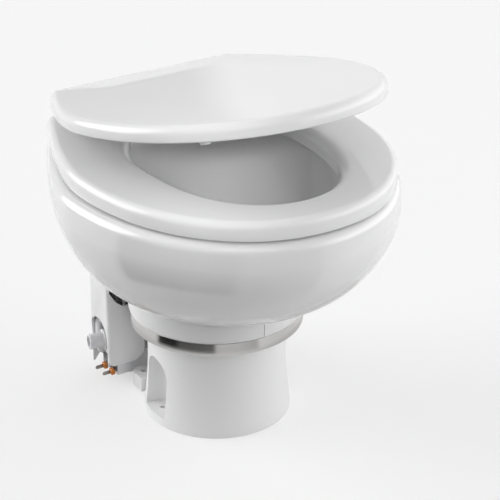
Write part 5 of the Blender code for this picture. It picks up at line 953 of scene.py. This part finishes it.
def moulded_pedestal():
    """Column with foot flare, step line, flange, screw niches, rear lugs and boss."""
    outer = [(0.0, 0.0), (PEDESTAL_FOOT_RADIUS - GAP, 0.0), (PEDESTAL_FOOT_RADIUS, GAP),
             (PEDESTAL_FOOT_RADIUS, FOOT_EDGE_HEIGHT)]
    for step in range(1, FLARE_STEPS + 1):
        share = step / FLARE_STEPS
        outer.append((COLUMN_RADIUS + (PEDESTAL_FOOT_RADIUS - COLUMN_RADIUS) * (1 - share) ** 2,
                      FOOT_EDGE_HEIGHT + (FLARE_HEIGHT - FOOT_EDGE_HEIGHT) * share))
    step_radius = COLUMN_RADIUS + STEP_LINE_DEPTH
    outer += [(COLUMN_RADIUS, STEP_LINE_HEIGHT), (step_radius, STEP_LINE_HEIGHT + GAP),
              (step_radius, FLANGE_BOTTOM), (FLANGE_RADIUS, FLANGE_BOTTOM), (FLANGE_RADIUS, PEDESTAL_HEIGHT),
              (0.0, PEDESTAL_HEIGHT)]
    pedestal = shape("pedestal_moulded", turned(outer, ROUND_STEPS))
    inner = COLUMN_RADIUS - COLUMN_WALL
    above = PEDESTAL_HEIGHT + OVERRUN
    cavity = shape("cavity", turned([(0.0, FLOOR_THICKNESS), (inner, FLOOR_THICKNESS), (inner, above), (0.0, above)],
                                    ROUND_STEPS))
    for side in (-1, 1):
        carve(cavity, shape("niche_wall", arch_hull(NICHE_RADIUS + NICHE_WALL, NICHE_BACK_X - NICHE_WALL, -OVERRUN,
                                                    NICHE_TOP + NICHE_WALL, side)))
    carve(pedestal, cavity)
    for side in (-1, 1):
        carve(pedestal, shape("niche", arch_hull(NICHE_RADIUS, NICHE_BACK_X, NICHE_LEDGE_HEIGHT, NICHE_TOP, side)))
        place = (side * NICHE_SCREW_X, NICHE_SCREW_Y)
        drill(pedestal, (*place, -OVERRUN), (*place, NICHE_LEDGE_HEIGHT + OVERRUN), NICHE_SCREW_RADIUS)
        carve(pedestal, lug_shape(side * LUG_X), "UNION")
        place = (side * LUG_X, LUG_Y)
        drill(pedestal, (*place, -OVERRUN), (*place, LUG_THICKNESS + OVERRUN), LUG_HOLE_RADIUS)
    boss = shape("boss", block((-BOSS_WIDTH / 2, inner - COLUMN_WALL, BOSS_BOTTOM),
                               (BOSS_WIDTH / 2, BOSS_BACK_Y, BOSS_BOTTOM + BOSS_HEIGHT)))
    carve(pedestal, boss, "UNION")
    drill(pedestal, (PORT_X, inner / 2, PORT_Z), (PORT_X, PEDESTAL_FOOT_RADIUS + OVERRUN, PORT_Z), PORT_RADIUS,
          PIPE_STEPS)
    dress(pedestal, "pedestal_white", "base", "pedestal", crease=FINE_CREASE)


def clamp_and_band():
    """The two clamp halves and the steel band with its clasp ears."""
    shoulder = CLAMP_RADIUS + CLAMP_SHOULDER
    section = [(CLAMP_LOWER_LIP_RADIUS, CLAMP_BOTTOM), (CLAMP_RADIUS, CLAMP_BOTTOM), (CLAMP_RADIUS, BAND_TOP + GAP),
               (shoulder - CLAMP_SHOULDER / 2, BAND_TOP + 2 * GAP), (shoulder, BAND_TOP + CLAMP_SHOULDER),
               (shoulder, CLAMP_TOP - CLAMP_LIP), (shoulder - CLAMP_SHOULDER, CLAMP_TOP),
               (CLAMP_NECK_RADIUS, CLAMP_TOP), (CLAMP_NECK_RADIUS, FOOT_TOP + GAP), (CLAMP_INNER, FOOT_TOP + GAP),
               (CLAMP_INNER, CLAMP_BOTTOM + CLAMP_LIP), (CLAMP_LOWER_LIP_RADIUS, CLAMP_BOTTOM + CLAMP_LIP)]
    profile = rounded_profile(section, CLAMP_LIP / 2)
    seam = CLAMP_SEAM / 2 / CLAMP_RADIUS
    for label, first in (("right", -QUARTER), ("left", QUARTER)):
        half = turned_part(profile, ROUND_STEPS // 2, first + seam, first + pi - seam)
        dress(shape("clamp_half_moulded_" + label, half), "pedestal_white", "base", "clamp_half_" + label)
    half_gap = CLASP_GAP / 2 / BAND_OUTER
    strip = rounded_profile([(BAND_INNER, CLAMP_BOTTOM), (BAND_OUTER, CLAMP_BOTTOM), (BAND_OUTER, BAND_TOP),
                             (BAND_INNER, BAND_TOP)], BAND_EDGE)
    band = turned_part(strip, ROUND_STEPS, CLASP_ANGLE + half_gap, CLASP_ANGLE + TURN - half_gap)
    dress(shape("clamp_band_brushed", band), "stainless_steel", "base", "clamp_band")
    outward = Vector((cos(CLASP_ANGLE), sin(CLASP_ANGLE), 0))
    across = Vector((-outward.y, outward.x, 0))
    for label, side in (("a", -1), ("b", 1)):
        near = side * CLASP_GAP / 2
        far = side * (CLASP_GAP / 2 + CLASP_EAR_THICKNESS)
        corners = [[outward * (BAND_INNER + reach) + across * offset + Vector((0, 0, height))
                    for reach, offset in ((GAP, near), (CLASP_EAR_LENGTH, near), (CLASP_EAR_LENGTH, far), (GAP, far))]
                   for height in (CLAMP_BOTTOM, BAND_TOP)]
        ear = shape("clasp_ear_" + label, skin(corners))
        soften(ear, CLASP_EAR_THICKNESS / 4)
        dress(ear, "stainless_steel", "base")


def discharge_line():
    """The white elbow whose stepped nozzle leaves the cover's slot, and the hose that feeds it."""
    away = Vector((-cos(ELBOW_SWING), sin(ELBOW_SWING), 0))
    corner = Vector((PORT_X, ELBOW_Y, ELBOW_Z))
    tip = corner + away * NOZZLE_REACH
    bend = filleted([(PORT_X, ELBOW_Y, ELBOW_TOP_Z), corner, tip], ELBOW_BEND, BEND_STEPS)
    path = [bend[0], Vector((PORT_X, ELBOW_Y, HOSE_END_Z - GAP)), *bend[1:-1]]
    radii = [SPOUT_RADIUS] * 2 + [NOZZLE_BASE_RADIUS] * (len(path) - 2)
    collar_end = NOZZLE_COLLAR_REACH + NOZZLE_COLLAR_WIDTH
    slim = (NOZZLE_TIP_RADIUS + NOZZLE_BASE_RADIUS) / 2
    lip = NOZZLE_REACH - NOZZLE_LIP_WIDTH
    half, quarter = NOZZLE_EDGE / 2, NOZZLE_EDGE / 4
    for reach, radius in (
            (NOZZLE_COLLAR_REACH - quarter, NOZZLE_BASE_RADIUS), (NOZZLE_COLLAR_REACH, NOZZLE_COLLAR_RADIUS - half),
            (NOZZLE_COLLAR_REACH + half, NOZZLE_COLLAR_RADIUS), (collar_end - half, NOZZLE_COLLAR_RADIUS),
            (collar_end, NOZZLE_COLLAR_RADIUS - half), (collar_end + quarter, slim),
            (lip - quarter, NOZZLE_TIP_RADIUS), (lip, NOZZLE_LIP_RADIUS - half), (lip + half, NOZZLE_LIP_RADIUS),
            (NOZZLE_REACH - half, NOZZLE_LIP_RADIUS - half), (NOZZLE_REACH, NOZZLE_LIP_RADIUS - NOZZLE_EDGE)):
        path.append(corner + away * reach)
        radii.append(radius)
    elbow = pipe(path, radii, ELBOW_BORE, PIPE_STEPS)
    dress(shape("discharge_elbow_moulded", elbow), "pipe_white", "base", "discharge_elbow")
    corners = [(PORT_X, HOSE_START_Y, PORT_Z), (PORT_X, ELBOW_Y, PORT_Z), (PORT_X, ELBOW_Y, HOSE_END_Z)]
    route = filleted(corners, HOSE_BEND, HOSE_BEND_STEPS)
    inner = SPOUT_RADIUS + GAP
    hose = pipe(route, inner + HOSE_WALL, inner, PIPE_STEPS)
    dress(shape("discharge_hose_rubber", hose), "black_rubber", "base", "discharge_hose")


def rinse_line():
    """White rinse pipe and the ribbed anti-siphon valve that shows in the cover's scoop."""
    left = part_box("valve_body")[0].x
    low = Vector((RINSE_PIPE_X, RINSE_PIPE_Y, RINSE_PIPE_LOW_Z))
    high = Vector((RINSE_PIPE_X, RINSE_PIPE_Y, RINSE_PIPE_TOP_Z))
    valve = Vector((ANTISIPHON_X, ANTISIPHON_Y, RINSE_PIPE_TOP_Z))
    end = valve + (high - valve).normalized() * (ANTISIPHON_RADIUS + GAP)
    route = filleted([(left - GAP, RINSE_PIPE_Y, RINSE_PIPE_LOW_Z), low, high, end], RINSE_PIPE_BEND, BEND_STEPS)
    white_pipe = pipe(route, RINSE_PIPE_RADIUS, RINSE_PIPE_BORE, SMALL_STEPS)
    dress(shape("rinse_pipe_moulded", white_pipe), "pipe_white", "base", "rinse_pipe")

    top = ANTISIPHON_BOTTOM + ANTISIPHON_HEIGHT
    cap = top + ANTISIPHON_CAP_HEIGHT
    threads = [(0.0, ANTISIPHON_BOTTOM), (ANTISIPHON_RADIUS - GAP, ANTISIPHON_BOTTOM),
               (ANTISIPHON_RADIUS, ANTISIPHON_BOTTOM + GAP)]
    thread_low = top - ANTISIPHON_HEIGHT / 2
    pitch = (top - thread_low) / ANTISIPHON_THREADS
    groove = ANTISIPHON_RADIUS - ANTISIPHON_THREAD_DEPTH
    groove_start, groove_end, crest = ANTISIPHON_THREAD_SHARES
    for index in range(ANTISIPHON_THREADS):
        height = thread_low + index * pitch
        threads += [(ANTISIPHON_RADIUS, height), (groove, height + pitch * groove_start),
                    (groove, height + pitch * groove_end), (ANTISIPHON_RADIUS, height + pitch * crest)]
    threads += [(ANTISIPHON_RADIUS, top)]
    centre = (ANTISIPHON_X, ANTISIPHON_Y)
    rings = lathe_rings(threads, ANTISIPHON_STEPS, centre)
    for height in (top + GAP, cap - GAP * 2):
        ring = []
        for step in range(ANTISIPHON_STEPS):
            radius = ANTISIPHON_CAP_RADIUS
            if step % RIB_STEPS < RIB_STEPS / 2:
                radius -= ANTISIPHON_THREAD_DEPTH
            turn = TURN * step / ANTISIPHON_STEPS
            ring.append((ANTISIPHON_X + radius * cos(turn), ANTISIPHON_Y + radius * sin(turn), height))
        rings.append(ring)
    rings += lathe_rings([(ANTISIPHON_RADIUS - GAP, cap), (ANTISIPHON_SPOUT_RADIUS, cap),
                          (ANTISIPHON_SPOUT_RADIUS, cap + ANTISIPHON_SPOUT_HEIGHT)], ANTISIPHON_STEPS, centre)
    dress(shape("antisiphon_valve_ribbed", skin(rings)), "black_plastic", "base", "antisiphon_valve")


def rinse_hose_piece():
    """The black hose from the anti-siphon valve, up through the cover's roof, to the fitting at the bowl's back."""
    start = Vector((ANTISIPHON_X, ANTISIPHON_Y, ANTISIPHON_BOTTOM + ANTISIPHON_HEIGHT + ANTISIPHON_CAP_HEIGHT + GAP))
    fitting_end = Vector((RINSE_FITTING_X, RINSE_FITTING_Y, RINSE_FITTING_Z - RINSE_FITTING_DROP))
    straight = Vector((0, 0, RINSE_HOSE_OVERLAP / 2))
    finish_straight = fitting_end - straight
    way = finish_straight - start
    route = [Vector((start.x + way.x * x, start.y + way.y * y, start.z + way.z * z))
             for x, y, z in RINSE_ROUTE_SHARES]
    path = smooth([start, start + Vector((0, 0, ANTISIPHON_SPOUT_HEIGHT))] + route
                  + [finish_straight, fitting_end, fitting_end + 2 * straight], HOSE_POINT_STEPS)
    hose = pipe(path, RINSE_HOSE_RADIUS, RINSE_HOSE_BORE, PIPE_STEPS)
    dress(shape("rinse_hose_rubber", hose), "black_rubber", "base", "rinse_hose")


def hinge_posts():
    """The turned posts that carry the hinge pins."""
    for label, side in (("left", -1), ("right", 1)):
        low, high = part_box("hinge_post_" + label)
        top = high.z
        profile = [(0.0, low.z), (STUD_RADIUS - POST_EDGE / 2, low.z), (STUD_RADIUS, low.z + POST_EDGE / 2),
                   (STUD_RADIUS, RIM_TOP + GAP), (POST_RADIUS - GAP, RIM_TOP + GAP), (POST_RADIUS, RIM_TOP + 2 * GAP),
                   (POST_RADIUS, top - POST_EDGE),
                   (POST_RADIUS - POST_EDGE * POST_EDGE_SHARE, top - POST_EDGE * POST_EDGE_SHARE),
                   (POST_RADIUS - POST_EDGE, top), (0.0, top)]
        mesh = turned(profile, PIPE_STEPS, (side * HINGE_SPACING / 2, HINGE_Y))
        dress(shape("hinge_post_turned_" + label, mesh), "stainless_steel", "base", "hinge_post_" + label)


def small_pieces():
    """Pieces that keep their CAD form and get rounded edges."""
    for body, rows in ROUNDED_EDGES.items():
        for node, width in rows:
            softened(node, body, width)


def tones_around(tree, vector, stops, behind):
    """Tones by direction round the object."""
    turn = add_node(tree, "VectorRotate", {"Vector": vector, "Angle": FLOOR_TURN}, rotation_type="Z_AXIS")
    around = add_node(tree, "TexGradient", {"Vector": turn.outputs["Vector"]}, gradient_type="RADIAL")
    tones = add_node(tree, "ValToRGB", {"Fac": around.outputs["Color"]})
    ramp = tones.color_ramp
    ramp.interpolation = "EASE"
    for element, position in zip(ramp.elements, (0.0, 1.0)):
        element.position = position
        element.color = grey(behind)
    for degrees, tone in stops:
        ramp.elements.new(degrees / 360).color = grey(tone)
    return tones.outputs["Color"]


def pale_floor():
    """Paper that glows a little for the camera, and shows its darker tones in the glaze and the steel only: a painted
    dark reflection, which also lays painted shade on the object's front.
    """
    floor = shape("floor", block((-FLOOR_REACH, -FLOOR_REACH, -OVERRUN), (FLOOR_REACH, FLOOR_REACH, -GAP)))
    material = bpy.data.materials.new("floor_paper")
    material.use_nodes = True
    tree = material.node_tree
    seen = add_node(tree, "LightPath").outputs["Is Camera Ray"]
    place = add_node(tree, "TexCoord").outputs["Object"]
    distance = add_node(tree, "VectorMath", {0: place}, operation="LENGTH").outputs["Value"]
    # Rays other than the camera's see the paper darker near the object and darker still in sectors round it: painted
    # dark reflections in the glaze and the steel, and painted shade on the object's front
    share = maths(tree, "MULTIPLY", eased(tree, distance, PAPER_NEAR, PAPER_FAR), maths(tree, "SUBTRACT", 1.0, seen))
    near = blend(tree, seen, grey(PAPER_BOUNCE_TONE), grey(PAPER_TONE))
    paper = tree.nodes["Principled BSDF"]
    feed(tree, paper, {
        "Roughness": PAPER_ROUGHNESS, "Specular IOR Level": 0.0,
        "Base Color": blend(tree, share, near, tones_around(tree, place, PAINTED_REFLECTION_TONES, PAPER_TONE))})
    mixed = add_node(tree, "MixShader", {
        0: maths(tree, "MULTIPLY", seen, PAPER_GLOW_SHARE), 1: paper.outputs["BSDF"],
        2: add_node(tree, "Emission").outputs["Emission"]})
    feed(tree, tree.nodes["Material Output"], {"Surface": mixed.outputs["Shader"]})
    floor.data.materials.append(material)


def light_all_round():
    """Soft light from the sides and the top, dimmer at the front, and a plain backdrop for the camera."""
    world = bpy.data.worlds.new("studio")
    bpy.context.scene.world = world
    world.use_nodes = True
    tree = world.node_tree
    direction = add_node(tree, "TexCoord").outputs["Generated"]
    height = add_node(tree, "SeparateXYZ", {"Vector": direction}).outputs["Z"]
    flat = add_node(tree, "VectorMath", {0: direction, 1: (1.0, 1.0, FRONT_SQUASH)}, operation="MULTIPLY")
    unit = add_node(tree, "VectorMath", {0: flat.outputs["Vector"]}, operation="NORMALIZE")
    heading = (sin(FRONT_AZIMUTH), -cos(FRONT_AZIMUTH), 0.0)
    facing = add_node(tree, "VectorMath", {0: unit.outputs["Vector"], 1: heading}, operation="DOT_PRODUCT")
    front = eased(tree, facing.outputs["Value"], FRONT_EDGE, FRONT_FULL)
    around = maths(tree, "MULTIPLY", tones_around(tree, direction, LIGHT_TONES, BACK_TONE), SIDE_LIGHT)
    side = blend(tree, front, around, FRONT_LIGHT, "FLOAT")
    level = blend(tree, eased(tree, height, SIDE_LIGHT_HEIGHT, TOP_LIGHT_HEIGHT), side, TOP_LIGHT, "FLOAT")
    sky = tree.nodes["Background"]
    feed(tree, sky, {"Strength": level, "Color": WHITE})
    mixed = add_node(tree, "MixShader", {
        0: add_node(tree, "LightPath").outputs["Is Camera Ray"], 1: sky.outputs["Background"],
        2: add_node(tree, "Background", {"Color": BACKGROUND}).outputs["Background"]})
    feed(tree, tree.nodes["World Output"], {"Surface": mixed.outputs["Shader"]})


def stand_up(name, data, matrix):
    """A lamp or camera in its place."""
    thing = bpy.data.objects.new(name, data)
    thing.matrix_world = matrix
    bpy.context.scene.collection.objects.link(thing)
    return thing


def lamps_and_camera():
    """Weak soft lamps, and a narrow one from the camera's side that reaches into the basin."""
    for label, strength, wide, tilt, heading in (("key", KEY_LIGHT, KEY_SPREAD, KEY_TILT, CAMERA_AZIMUTH),
                                                 ("left", LEFT_LIGHT, LOW_SPREAD, LOW_TILT, LEFT_TURN),
                                                 ("right", RIGHT_LIGHT, LOW_SPREAD, LOW_TILT, RIGHT_TURN)):
        light = bpy.data.lights.new(label, "SUN")
        light.energy = strength
        light.angle = wide
        stand_up(label, light, Matrix.Rotation(heading, 4, "Z") @ Matrix.Rotation(tilt, 4, "X"))

    back = Vector((sin(CAMERA_AZIMUTH) * cos(CAMERA_ELEVATION),
                   -cos(CAMERA_AZIMUTH) * cos(CAMERA_ELEVATION), sin(CAMERA_ELEVATION)))
    right = Vector((cos(CAMERA_AZIMUTH), sin(CAMERA_AZIMUTH), 0))
    facing = Matrix((right, back.cross(right), back)).transposed().to_4x4()
    light = bpy.data.lights.new("front_spot", "SPOT")
    light.energy = SPOT_LIGHT
    light.spot_size = SPOT_CONE
    light.spot_blend = 1.0
    light.shadow_soft_size = SPOT_SOFTNESS
    lamp = stand_up("front_spot", light, Matrix.Translation(Vector(SPOT_AIM) + back * SPOT_DISTANCE) @ facing)
    lamp.visible_glossy = False

    lens = bpy.data.cameras.new("camera")
    lens.lens = CAMERA_LENS
    place = right * CAMERA_ASIDE + Vector((0, 0, CAMERA_HEIGHT)) + back * CAMERA_DISTANCE
    bpy.context.scene.camera = stand_up("camera", lens, Matrix.Translation(place) @ facing)
    bpy.context.scene.view_settings.view_transform = "Standard"


glazed_bowl()
seat_and_lid()
moulded_pedestal()
clamp_and_band()
discharge_line()
rinse_line()
rinse_hose_piece()
hinge_posts()
small_pieces()
pale_floor()
light_all_round()
lamps_and_camera()
